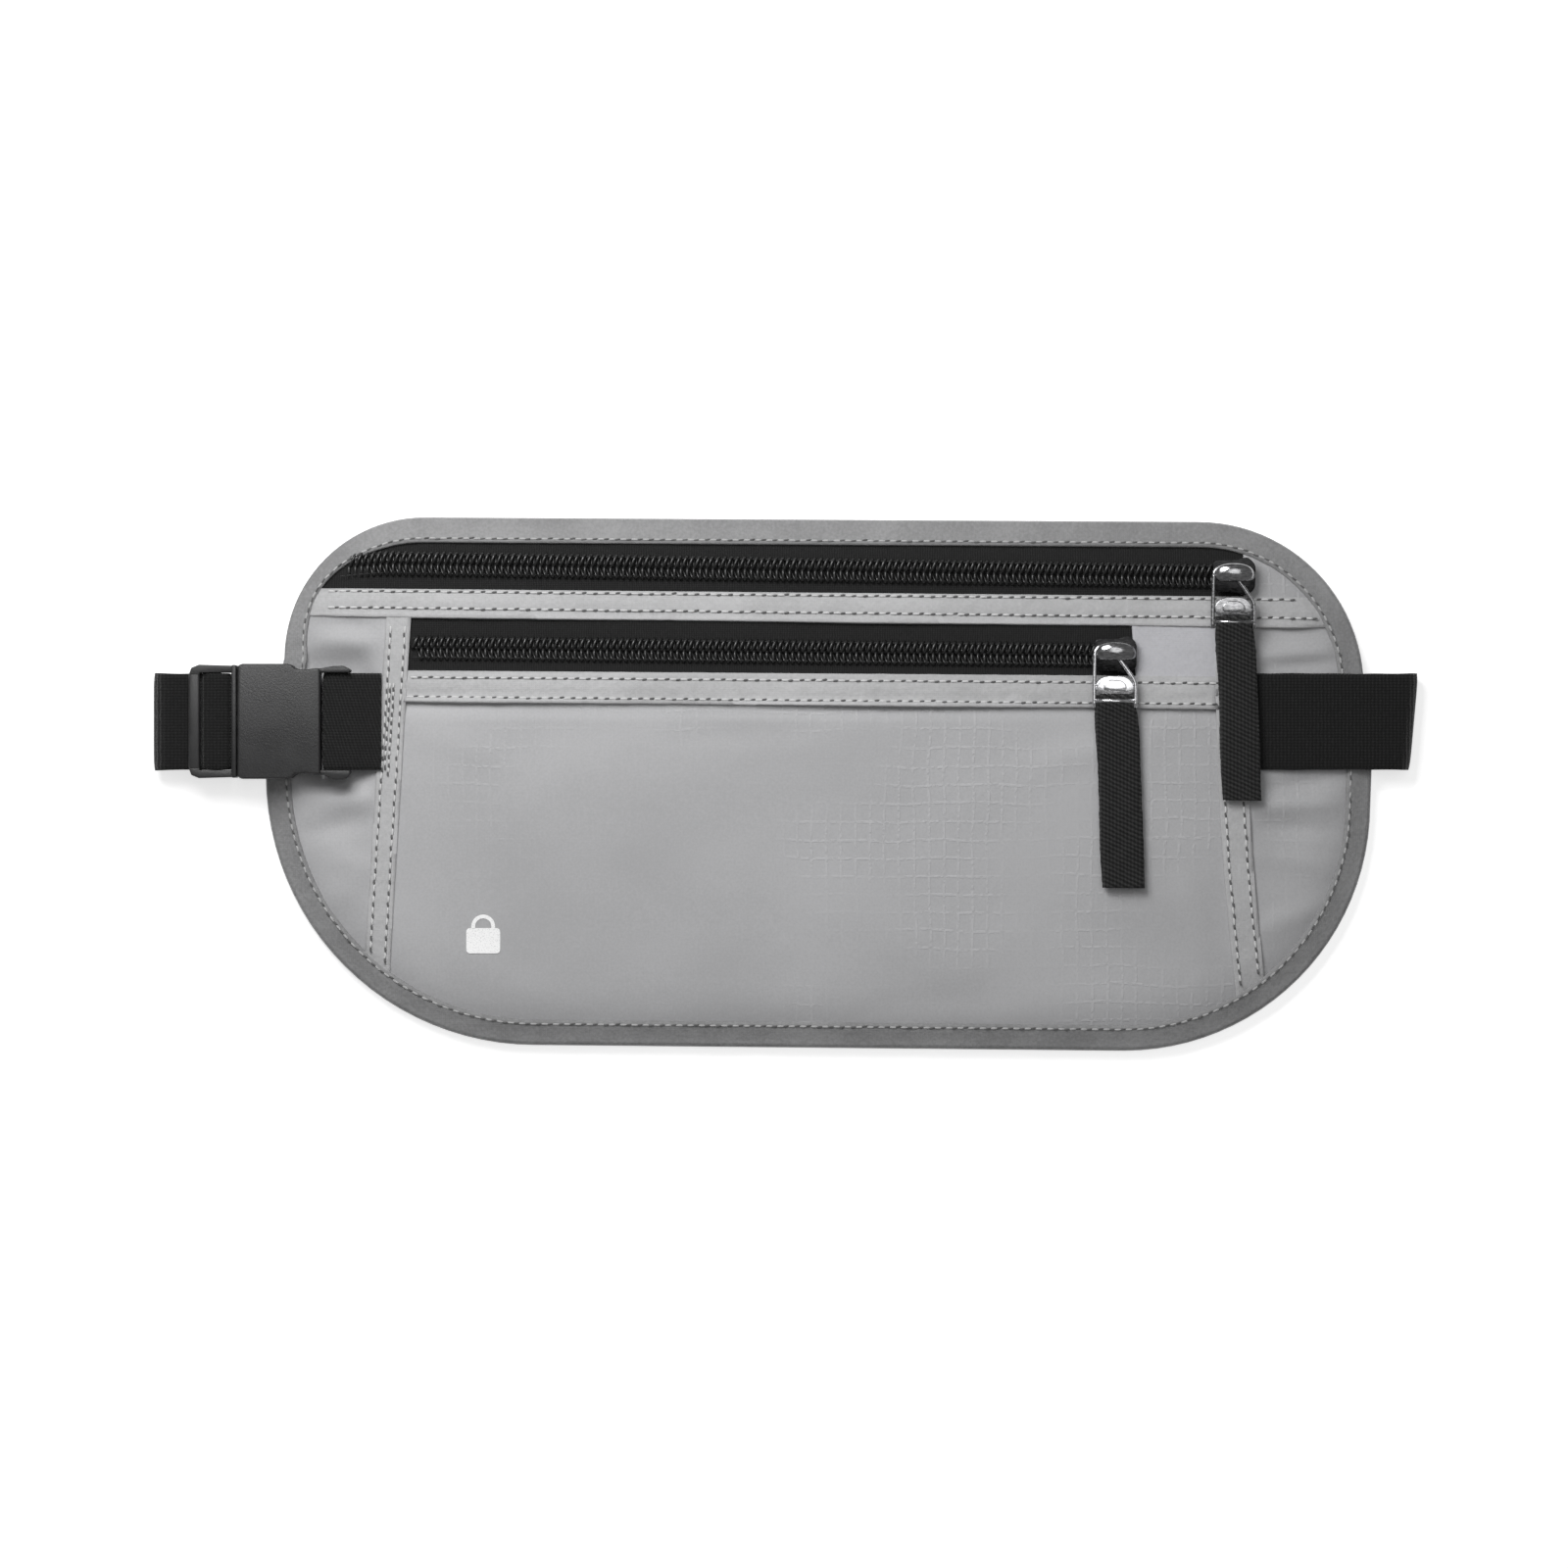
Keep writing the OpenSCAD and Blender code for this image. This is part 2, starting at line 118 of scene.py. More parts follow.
def outline(inset, steps=24):
    """The pouch's edge, anticlockwise, moved inward by inset."""
    left = LEFT - LEFT_SWELL
    right = RIGHT + RIGHT_SWELL
    corners = (
        (LEFT + LEFT_TAPER + TOP_LEFT_R, TOP - TOP_LEFT_R, TOP_LEFT_R, 90),
        (left + BOTTOM_LEFT_R, BOTTOM + BOTTOM_RISE + BOTTOM_LEFT_R, BOTTOM_LEFT_R, 180),
        (right - BOTTOM_RIGHT_R, BOTTOM + BOTTOM_RIGHT_R, BOTTOM_RIGHT_R, 270),
        (RIGHT - RIGHT_TAPER - TOP_RIGHT_R, TOP - TOP_DROP - TOP_RIGHT_R, TOP_RIGHT_R, 0))
    top_left, bottom_left, bottom_right, top_right = (
        arc(x, y, r - inset, start, start + 90, steps) for x, y, r, start in corners)
    left_side = [(left - LEFT_BULGE + inset, BULGE_Y)]
    right_side = [(right + RIGHT_BULGE - inset, BULGE_Y)]
    return top_left + left_side + bottom_left + bottom_right + right_side + top_right


EDGE = np.array(outline(0))


def edge_distance(points):
    """How far each (x, y) is inside the pouch's edge."""
    p = np.asarray(points, float)[:, None, :]
    a = EDGE[None, :, :]
    ab = np.roll(EDGE, -1, axis=0)[None, :, :] - a
    t = np.clip(((p - a) * ab).sum(2) / (ab**2).sum(2), 0, 1)
    gap = np.linalg.norm(p - a - ab * t[..., None], axis=2)
    nearest = gap.argmin(axis=1)
    rows = np.arange(len(nearest))
    cross = (ab[0, nearest, 0] * (p[rows, 0, 1] - a[0, nearest, 1])
             - ab[0, nearest, 1] * (p[rows, 0, 0] - a[0, nearest, 0]))
    return np.where(cross > 0, 1, -1) * gap[rows, nearest]


def ramp(value, start, end):
    """Smooth step from 0 at start to 1 at end."""
    t = np.clip((np.asarray(value, float) - start) / (end - start), 0, 1)
    return t * t * (3 - 2 * t)


def over_belt(points):
    """1 where the belt passes beneath, 0 well away from it."""
    p = np.asarray(points, float)
    return 1 - ramp(np.abs(p[:, 1] - STRAP_Y), STRAP_W / 2 - 1, STRAP_W / 2 + 14)


def bumps(points, wide, tall, layer):
    """Noise at each (x, y), with features this wide and tall; each layer is a different noise."""
    return np.array([noise.noise(Vector((x / wide, y / tall, layer))) for x, y in points])


def folds(points):
    """Soft unevenness of the fabric."""
    return 0.42 * bumps(points, 46, 30, 3.1) + 0.16 * bumps(points, 17, 13, 8.7)


def off_zips(points):
    """0 on the zips, which lie straight and flat, and 1 away from them."""
    p = np.asarray(points, float)
    gaps = [np.abs(p[:, 1] - start - slope * p[:, 0]) for start, slope in (TOP_COIL, FRONT_COIL)]
    return ramp(np.minimum(*gaps), 4, 12)


EDGE_Z = 4.1
EDGE_ROLL = 6.0
DOME = 1.5
DOME_REACH = 40.0
FRONT_SINK = 0.3
EDGE_DROP = 1.0
BACK_LIFT = 0.35
FLOOR_GAP = 0.6


def edge_drop(points, d):
    """The edge lies lower where no belt passes beneath it."""
    return EDGE_DROP * (1 - over_belt(points)) * (1 - ramp(d, 2, 16))


def front_height(points):
    """Height of the front fabric."""
    d = edge_distance(points)
    rise = (FRONT_Z - FRONT_SINK - EDGE_Z) * (1 - np.exp(-((np.maximum(d, 0) / EDGE_ROLL) ** 2)))
    dome = DOME * (1 - np.exp(-((np.maximum(d - BINDING_W, 0) / DOME_REACH) ** 2)))
    calm = ramp(d, BINDING_W, BINDING_W + 16) * off_zips(points)
    return EDGE_Z + rise + dome + calm * folds(points) - edge_drop(points, d)


def back_height(points):
    """Height of the back fabric's outer face."""
    d = edge_distance(points)
    inside = ramp(d, 2, 14)
    sag = (BACK_Z - FLOOR_GAP) * (1 - over_belt(points)) * inside
    return BACK_Z + BACK_LIFT - sag - edge_drop(points, d) * (1 - inside)


def right_bend(x, y):
    """How far the right side seam stands left of a straight line."""
    middle = (TOP_STRIP_LOWER[0] + BOTTOM) / 2
    half = (TOP_STRIP_LOWER[0] - BOTTOM) / 2
    arch = np.clip(1 - ((y - middle) / half) ** 2, 0, 1)
    return RIGHT_BEND * arch * ramp(x, 60, 112)


# ---- Mesh helpers, all in millimetres ---------------------------------------------------------


FINE = 1.2
EDGE_INSET = 2.5


def new_object(name, bm, material, body, smooth=True):
    """An object from bm, which rides on body and has its material's slot."""
    bmesh.ops.scale(bm, vec=(MM, MM, MM), verts=bm.verts)
    mesh = bpy.data.meshes.new(name)
    bm.to_mesh(mesh)
    bm.free()
    for polygon in mesh.polygons:
        polygon.use_smooth = smooth
    mesh.materials.append(material)
    obj = bpy.data.objects.new(name, mesh)
    bpy.context.collection.objects.link(obj)
    if body:
        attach(obj, body)
    return obj


def solidify(obj, thickness, offset=-1):
    """Gives a surface its thickness, below it unless offset says otherwise."""
    modifier = obj.modifiers.new("thickness", "SOLIDIFY")
    modifier.thickness = thickness * MM
    modifier.offset = offset
    return obj


def bevel(obj, width, segments=3):
    """Rounds the edges of a solid."""
    modifier = obj.modifiers.new("bevel", "BEVEL")
    modifier.width = width * MM
    modifier.segments = segments
    modifier.limit_method = "ANGLE"
    modifier.angle_limit = math.radians(30)
    return obj


def cut(bm, point, normal, trim=True):
    """Cuts bm along a line seen from above; with trim, what lies along normal is removed."""
    bmesh.ops.bisect_plane(
        bm, geom=bm.verts[:] + bm.edges[:] + bm.faces[:], dist=1e-5,
        plane_co=(*point, 0), plane_no=(*normal, 0), clear_outer=trim)


def below_line(line, up=0.0):
    """A cut that keeps what lies below a seam across the front."""
    return (0, line[0] + up), (-line[1], 1)


def above_line(line, up=0.0):
    """A cut that keeps what lies above a seam across the front."""
    return (0, line[0] + up), (line[1], -1)


def left_of_seam(seam, right=0.0):
    """A cut that keeps what lies to the left of a seam up the front."""
    return (seam[0] + right, 0), (1, -seam[1])


def right_of_seam(seam, right=0.0):
    """A cut that keeps what lies to the right of a seam up the front."""
    return (seam[0] + right, 0), (-1, seam[1])


def left_of(x):
    """A cut that keeps what lies to the left of x."""
    return left_of_seam((x, 0))


def right_of(x):
    """A cut that keeps what lies to the right of x."""
    return right_of_seam((x, 0))


def middle(a, b):
    """The line halfway between two seams."""
    return ((a[0] + b[0]) / 2, (a[1] + b[1]) / 2)


def panel(name, cuts, lift, thickness, material, spacing=FINE, inset=EDGE_INSET, height=front_height,
          shape=None):
    """A cut piece of the pouch's face, laid on the pouch and lifted off it."""
    bm = bmesh.new()
    bm.faces.new([bm.verts.new((x, y, 0)) for x, y in outline(inset)])
    for point, normal in cuts:
        cut(bm, point, normal)
    xs = [v.co.x for v in bm.verts]
    ys = [v.co.y for v in bm.verts]
    for x in np.arange(min(xs) + spacing, max(xs) - spacing / 2, spacing):
        cut(bm, (x, 0), (1, 0), trim=False)
    for y in np.arange(min(ys) + spacing, max(ys) - spacing / 2, spacing):
        cut(bm, (0, y), (0, 1), trim=False)
    flat = np.array([(v.co.x, v.co.y) for v in bm.verts])
    flat[:, 0] += right_bend(flat[:, 0], flat[:, 1])
    heights = height(flat) + lift
    if shape is not None:
        heights = heights + shape(flat)
    for v, (x, y), z in zip(bm.verts, flat, heights):
        v.co = (x, y, z)
    return solidify(new_object(name, bm, material, "root"), thickness)


def stand_in(obj, node):
    """Puts a panel in its CAD node's place, hiding the node."""
    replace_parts(obj, node)


# ---- Materials --------------------------------------------------------------------------------


class Nodes:
    """Short calls for building a material's nodes."""

    def __init__(self, name, roughness, metallic=0.0, sheen=0.0, specular=0.5):
        self.material = bpy.data.materials.new(name)
        self.material.use_nodes = True
        self.tree = self.material.node_tree
        self.shader = self.tree.nodes["Principled BSDF"]
        self.shader.inputs["Roughness"].default_value = roughness
        self.shader.inputs["Metallic"].default_value = metallic
        self.shader.inputs["Sheen Weight"].default_value = sheen
        self.shader.inputs["Specular IOR Level"].default_value = specular
        place = self.tree.nodes.new("ShaderNodeTexCoord").outputs["Object"]
        self.place = self.vector("MULTIPLY", place, (1 / MM, 1 / MM, 1 / MM))

    def put(self, socket, value):
        """Links a node's output to a socket, or sets the socket's value."""
        if isinstance(value, bpy.types.NodeSocket):
            self.tree.links.new(value, socket)
        else:
            socket.default_value = value

    def vector(self, operation, a, b):
        """A vector calculation."""
        made = self.tree.nodes.new("ShaderNodeVectorMath")
        made.operation = operation
        self.put(made.inputs[0], a)
        self.put(made.inputs[1], b)
        return made.outputs[0]

    def math(self, operation, a, b=0.0, c=0.0):
        """A calculation with plain numbers."""
        made = self.tree.nodes.new("ShaderNodeMath")
        made.operation = operation
        for socket, value in zip(made.inputs, (a, b, c)):
            self.put(socket, value)
        return made.outputs[0]

    def add(self, a, b):
        return self.math("ADD", a, b)

    def times(self, a, b):
        return self.math("MULTIPLY", a, b)

    def axes(self):
        """The place on the object, in millimetres, as separate x, y and z."""
        made = self.tree.nodes.new("ShaderNodeSeparateXYZ")
        self.put(made.inputs[0], self.place)
        return made.outputs

    def noise(self, scale, detail=2.0, stretch=(1, 1, 1)):
        """Noise whose features are about 1 / scale millimetres wide."""
        made = self.tree.nodes.new("ShaderNodeTexNoise")
        made.inputs["Scale"].default_value = scale
        made.inputs["Detail"].default_value = detail
        self.put(made.inputs["Vector"], self.vector("MULTIPLY", self.place, stretch))
        return made.outputs["Fac"]

    def span(self, value, low, high, to_low=0.0, to_high=1.0):
        """A smooth step from to_low to to_high as value goes from low to high."""
        made = self.tree.nodes.new("ShaderNodeMapRange")
        made.interpolation_type = "SMOOTHSTEP"
        for socket, v in zip(made.inputs, (value, low, high, to_low, to_high)):
            self.put(socket, v)
        return made.outputs[0]

    def mix(self, factor, a, b):
        """A colour between a and b."""
        made = self.tree.nodes.new("ShaderNodeMix")
        made.data_type = "RGBA"
        self.put(made.inputs["Factor"], factor)
        for key, value in (("A", a), ("B", b)):
            socket = [s for s in made.inputs if s.name == key and s.type == "RGBA"][0]
            self.put(socket, value)
        return [s for s in made.outputs if s.type == "RGBA"][0]

    def wave(self, value, period):
        """0 to 1 to 0 over each period."""
        turns = self.math("MULTIPLY", value, 2 * math.pi / period)
        return self.math("MULTIPLY_ADD", self.math("SINE", turns), 0.5, 0.5)

    def line(self, value, period, width):
        """1 on lines this wide, once each period."""
        phase = self.math("PINGPONG", value, period / 2)
        return self.span(phase, width / 2, width, 1.0, 0.0)

    def color(self, value):
        self.put(self.shader.inputs["Base Color"], value)

    def roughness(self, value):
        self.put(self.shader.inputs["Roughness"], value)

    def bump(self, height, distance=0.1, strength=1.0, after=None):
        """Relief in the surface, distance millimetres deep, over an earlier one if given."""
        made = self.tree.nodes.new("ShaderNodeBump")
        made.inputs["Strength"].default_value = strength
        made.inputs["Distance"].default_value = distance * MM
        self.put(made.inputs["Height"], height)
        if after is not None:
            self.put(made.inputs["Normal"], after)
        self.put(self.shader.inputs["Normal"], made.outputs[0])
        return made.outputs[0]


def grey(value, blue=1.0):
    """A neutral colour; blue makes it a little colder."""
    return (value, value, value * blue, 1)


def ripstop(name, light, dark, tilt=0.0):
    """Nylon with a grid of thicker threads, which shows in patches, most of all at the top right."""
    n = Nodes(name, roughness=0.55, sheen=0.12, specular=0.4)
    x, y, _ = n.axes()
    wobble = n.times(n.math("SUBTRACT", n.noise(0.05, 1.0), 0.5), 3.0)
    across = n.add(n.add(x, wobble), n.times(y, tilt))
    up = n.add(y, wobble)
    grid = n.math("MAXIMUM", n.line(across, 3.8, 0.42), n.line(up, 4.75, 0.42))
    broken = n.span(n.noise(0.9, 2.0), 0.34, 0.58)
    tighter = n.add(n.span(x, -70, 60, -0.10, 0.07), n.span(y, -30, 8, -0.09, 0.02))
    patches = n.span(n.add(n.noise(0.032, 1.0), tighter), 0.47, 0.66, 0.08, 1.0)
    shown = n.times(n.times(grid, patches), broken)
    weave = n.times(n.wave(x, 0.42), n.wave(y, 0.42))
    fine = n.noise(1.6, 3.0)
    tone = n.add(n.times(n.noise(0.02, 2.0), 0.55), n.times(fine, 0.45))
    base = n.mix(n.span(tone, 0.3, 0.7), grey(dark, 1.02), grey(light, 1.02))
    n.color(n.mix(n.times(shown, 0.30), base, grey(light * 1.25, 1.02)))
    n.roughness(n.span(fine, 0.2, 0.8, 0.48, 0.66))
    relief = n.add(shown, n.times(weave, 0.10))
    creases = n.bump(n.noise(0.16, 3.0, stretch=(1, 0.7, 1)), distance=0.5, strength=0.35)
    n.bump(relief, distance=0.09, strength=0.8, after=creases)
    return n.material


def plain_cloth(name, light, dark, blue=1.01, pucker=0.0):
    """A close plain weave, with the faint puckers of a stitched strip."""
    n = Nodes(name, roughness=0.62, sheen=0.15, specular=0.35)
    x, y, _ = n.axes()
    tone = n.times(n.add(n.noise(0.06, 2.0), n.noise(1.3, 3.0)), 0.5)
    n.color(n.mix(n.span(tone, 0.32, 0.68), grey(dark, blue), grey(light, blue)))
    weave = n.times(n.wave(x, 0.5), n.wave(y, 0.5))
    rough = n.add(n.times(weave, 0.3), n.noise(1.1, 3.0))
    puckers = n.bump(n.noise(0.35, 2.0), distance=0.6, strength=0.25 + pucker)
    n.bump(rough, distance=0.12, strength=0.7, after=puckers)
    return n.material


def tape_cloth(name, light, dark, rib, depth, along="x", diagonal=0.0):
    """Black woven tape or webbing whose ribs follow each other along one axis."""
    n = Nodes(name, roughness=0.78, sheen=0.12, specular=0.25)
    x, y, _ = n.axes()
    run, side = (x, y) if along == "x" else (y, x)
    slanted = n.add(run, n.times(side, diagonal))
    ribs = n.wave(n.add(slanted, n.times(n.noise(0.5, 1.0), 0.5)), rib)
    threads = n.wave(side, rib * 0.8)
    fibres = n.noise(2.4, 4.0)
    loops = n.times(n.times(threads, fibres), 0.8)
    fuzz = n.math("MULTIPLY_ADD", n.noise(0.9, 2.0), 0.5, loops)
    knit = n.add(n.times(ribs, 0.6), fuzz)
    n.color(n.mix(n.span(knit, 0.35, 1.25), grey(dark), grey(light)))
    n.roughness(n.span(fibres, 0.2, 0.8, 0.68, 0.9))
    n.bump(knit, distance=depth, strength=1.0)
    return n.material


def moulded(name, light, dark):
    """Fine spark-eroded plastic, a little polished in places."""
    n = Nodes(name, roughness=0.45, specular=0.45)
    wear = n.noise(0.12, 3.0)
    n.color(n.mix(n.span(wear, 0.35, 0.7), grey(dark, 1.03), grey(light, 1.03)))
    n.roughness(n.span(wear, 0.3, 0.7, 0.43, 0.49))
    n.bump(n.noise(2.2, 4.0), distance=0.08, strength=0.8)
    return n.material


def plated(name, light, dark, roughness):
    """Nickel plating with faint handling marks."""
    n = Nodes(name, roughness=roughness, metallic=1.0)
    marks = n.noise(0.8, 4.0, stretch=(1, 3, 1))
    n.color(n.mix(n.span(marks, 0.3, 0.7), grey(dark, 1.02), grey(light, 1.02)))
    n.roughness(n.span(marks, 0.3, 0.75, roughness, roughness + 0.14))
    n.bump(n.noise(0.6, 2.0), distance=0.05, strength=0.25)
    return n.material


def coil_nylon(name):
    """Glossy black nylon."""
    n = Nodes(name, roughness=0.3, specular=0.6)
    marks = n.noise(1.2, 2.0)
    n.color(n.mix(marks, grey(0.006), grey(0.018)))
    n.roughness(n.span(marks, 0.3, 0.7, 0.2, 0.45))
    return n.material


def thread(name, light, dark):
    """Twisted sewing thread."""
    n = Nodes(name, roughness=0.7, sheen=0.2, specular=0.3)
    x, y, _ = n.axes()
    twist = n.wave(n.add(x, y), 0.35)
    n.color(n.mix(twist, grey(dark), grey(light)))
    n.bump(twist, distance=0.04)
    return n.material


def ink(name):
    """White print, a little broken by the weave."""
    n = Nodes(name, roughness=0.5, specular=0.4)
    worn = n.noise(3.0, 3.0)
    n.color(n.mix(n.span(worn, 0.25, 0.5), grey(0.62), grey(0.92)))
    n.bump(worn, distance=0.03)
    return n.material


def pale_floor():
    """A plain pale floor that glows a little, so that it stays white beneath the pouch."""
    n = Nodes("studio_floor", roughness=0.9, specular=0.1)
    n.color(n.mix(n.noise(0.01, 1.0), grey(0.80), grey(0.82)))
    n.shader.inputs["Emission Color"].default_value = grey(1.0)
    n.shader.inputs["Emission Strength"].default_value = 0.62
    return n.material


SHELL = ripstop("shell_fabric", light=0.425, dark=0.36)
SIDE_SHELL = ripstop("side_fabric", light=0.41, dark=0.34, tilt=0.05)
BACK_SHELL = ripstop("back_fabric", light=0.36, dark=0.30)
TRIM = plain_cloth("trim_fabric", 0.455, 0.385, pucker=0.2)
COVER = plain_cloth("cover_fabric", 0.48, 0.42, blue=1.05)
BINDING = plain_cloth("binding_tape", 0.270, 0.198, pucker=0.25)
LINING = plain_cloth("lining", 0.55, 0.45)
ZIP_TAPE = tape_cloth("zip_tape", 0.014, 0.004, 0.62, depth=0.1)
WEBBING = tape_cloth("pull_webbing", 0.032, 0.003, 1.15, depth=0.35, along="y", diagonal=0.45)
TAB_WEBBING = tape_cloth("buckle_webbing", 0.014, 0.004, 0.9, depth=0.25, diagonal=0.3)
ELASTIC = tape_cloth("elastic", 0.008, 0.003, 0.95, depth=0.25)
COIL = coil_nylon("zip_coil")
DARK_METAL = plated("slider_metal", 0.030, 0.014, roughness=0.16)
CROWN_METAL = plated("crown_metal", 0.42, 0.24, roughness=0.09)
BRIGHT_METAL = plated("puller_metal", 0.85, 0.55, roughness=0.10)
# Painted shade: the top puller is the same hardware as the front one, given a darker copy of its plating
SHADED_PULLER_METAL = plated("shaded_puller_metal", 0.42, 0.20, roughness=0.12)
PLASTIC = moulded("buckle_plastic", 0.0235, 0.017)
DARK_PLASTIC = moulded("plug_plastic", 0.021, 0.014)
THREAD = thread("grey_thread", 0.70, 0.52)
EDGE_THREAD = thread("edge_thread", 0.50, 0.36)
# Painted shade: dark beads between the stitches stand for the shadow in the needle holes
STITCH_SHADE = thread("stitch_hole_shade", 0.14, 0.088)
BLACK_THREAD = thread("black_thread", 0.02, 0.008)
PRINT = ink("white_print")


# ---- Fabric of the pouch ----------------------------------------------------------------------

TOP_SEAM = middle(TOP_STRIP_UPPER, TOP_STRIP_LOWER)
FRONT_SEAM = middle(FRONT_STRIP_UPPER, FRONT_STRIP_LOWER)
LEFT_SEAM = middle(LEFT_STRIP_LEFT, LEFT_STRIP_RIGHT)
RIGHT_SEAM = middle(RIGHT_STRIP_LEFT, RIGHT_STRIP_RIGHT)
SHELL_T = 0.45
STRIP_T = 0.8
STRIP_LIFT = 0.5
SIDE_STRIP_LIFT = STRIP_LIFT + 0.15
STRIP_INSET = 3.4
COVER_T = 0.5
COVER_LIFT = 0.25
FRONT_COVER_EDGE = (95.3, -0.12)
LINING_T = 0.2
LAYER_GAP = 0.3
TAPE_T = 0.5
TAPE_LIFT = -0.25
# The middle of the buckle's tab where it presses on the left panel
TAB_MIDDLE = STRAP_Y + 0.5


def lining(name, node, layer):
    """One of the cloths inside the pouch, whose layers are counted from the back."""
    cloth = panel(name, [], layer * LAYER_GAP, LINING_T, LINING, spacing=6, height=back_height)
    stand_in(cloth, node)


def front_fabric():
    """The panels between the zips, the strips and the binding, and the lining under them."""
    pocket = panel(
        "pocket_panel", [below_line(FRONT_SEAM), right_of_seam(LEFT_SEAM), left_of_seam(RIGHT_SEAM)],
        0, SHELL_T, SHELL, spacing=1.8, shape=pocket_relief)
    stand_in(pocket, "front_pocket_panel")
    left = panel("left_panel", [below_line(TOP_SEAM), left_of_seam(LEFT_SEAM)], 0, SHELL_T,
                 SIDE_SHELL, shape=left_relief)
    stand_in(left, "left_side_panel")
    right = panel("right_panel", [below_line(TOP_SEAM), right_of_seam(RIGHT_SEAM)], 0, SHELL_T,
                  SIDE_SHELL, shape=right_relief)
    stand_in(right, "right_side_panel")
    lining("pocket_lining", "pocket_backing", 4)


def crease(points, start, end, width, depth):
    """A soft crease between two points of the front."""
    p = np.asarray(points, float)
    a, b = np.array(start), np.array(end)
    along = np.clip(((p - a) @ (b - a)) / ((b - a) @ (b - a)), 0, 1)
    gap = np.linalg.norm(p - a - along[:, None] * (b - a), axis=1)
    fade = np.sin(np.pi * np.clip(along, 0.02, 0.98)) ** 0.5
    return depth * np.exp(-((gap / width) ** 2)) * fade


def creases(points, spots):
    """Soft creases, each given by its two ends, its width and its depth."""
    return sum(crease(points, *spot) for spot in spots)


def pocket_relief(p):
    """The pocket hangs a little loose: shallow waves below the zip, and pulls towards its corners."""
    waves = 0.22 * np.sin(p[:, 0] / 19 + 0.6) * np.exp(-np.abs(p[:, 1] - 14) / 14)
    low = 0.18 * np.sin(p[:, 0] / 13 + 1.1) * np.exp(-np.abs(p[:, 1] + 56) / 7)
    pulls = creases(p, (
        ((96, 12), (62, 4), 4, 0.5), ((104, -20), (110, -48), 4, 0.45),
        ((-96, 14), (-72, 6), 4, 0.4), ((-92, -40), (-60, -58), 5, 0.4),
        ((60, -54), (20, -58), 4, -0.35), ((10, 14), (-30, 12), 3, -0.3)))
    below = p[:, 1] - FRONT_STRIP_LOWER[0] - FRONT_STRIP_LOWER[1] * p[:, 0]
    groove = -0.9 * np.exp(-(((below + 0.9) / 1.2) ** 2)) * (1 + 0.4 * np.sin(p[:, 0] / 17))
    return waves + low + pulls + groove


def left_relief(p):
    """The buckle's tab presses the side panel in and lifts it above and below."""
    beside = 1 - ramp(np.abs(p[:, 1] - TAB_MIDDLE), 12.8, 20.5)
    dent = -2.2 * beside * ramp(p[:, 0], -131, -121) * (1 - ramp(p[:, 0], -111, -105))
    return dent + creases(p, (
        ((-121, 37.5), (-105, 36), 2.6, 0.7), ((-124, 42), (-106, 41), 2.0, -0.5),
        ((-121, -5), (-106, -4), 3.0, 0.9), ((-126, -13), (-108, -9), 3.0, -0.7),
        ((-118, -18), (-106, -24), 3.5, 0.5), ((-122, -34), (-110, -24), 4, 0.5)))


def right_relief(p):
    """The belt pulls on the side panel."""
    near = RIGHT - BINDING_W
    return creases(p, (
        ((near, 35), (122, 33), 2.2, 0.9), ((near, 31.5), (122, 30.5), 1.5, -0.6),
        ((near, 1), (122, -1), 2.0, -0.8), ((near, -5), (122, -6), 2.2, 0.9),
        ((near, -12), (122, -11), 2.2, -0.6), ((near, 40), (122, 39), 2.0, -0.5),
        ((near, -22), (120, -18), 3, 0.5), ((near, -30), (118, -40), 3, 0.5)))


def strip_relief(line):
    """A folded strip stands up along its two edges' seams."""
    def shape(p):
        across = p[:, 1] - line[0] - line[1] * p[:, 0]
        loose = (1 + 0.4 * np.sin(p[:, 0] / 17)) * ramp(edge_distance(p), 7, 14)
        curl = 0.75 * ramp(-across, 2.4, 4.2) * loose
        puckers = bumps(p, 2.6, 2.2, 4.0)
        return 0.16 * np.cos(across / 3.4 * math.pi) + 0.20 * puckers + curl
    return shape


def over_strap_end(p):
    """The right side strip passes over the sewn end of the belt."""
    above = 1 - ramp(np.abs(p[:, 1] - STRAP_Y), STRAP_W / 2, STRAP_W / 2 + 3)
    return above * ramp(p[:, 0], 113, 118)


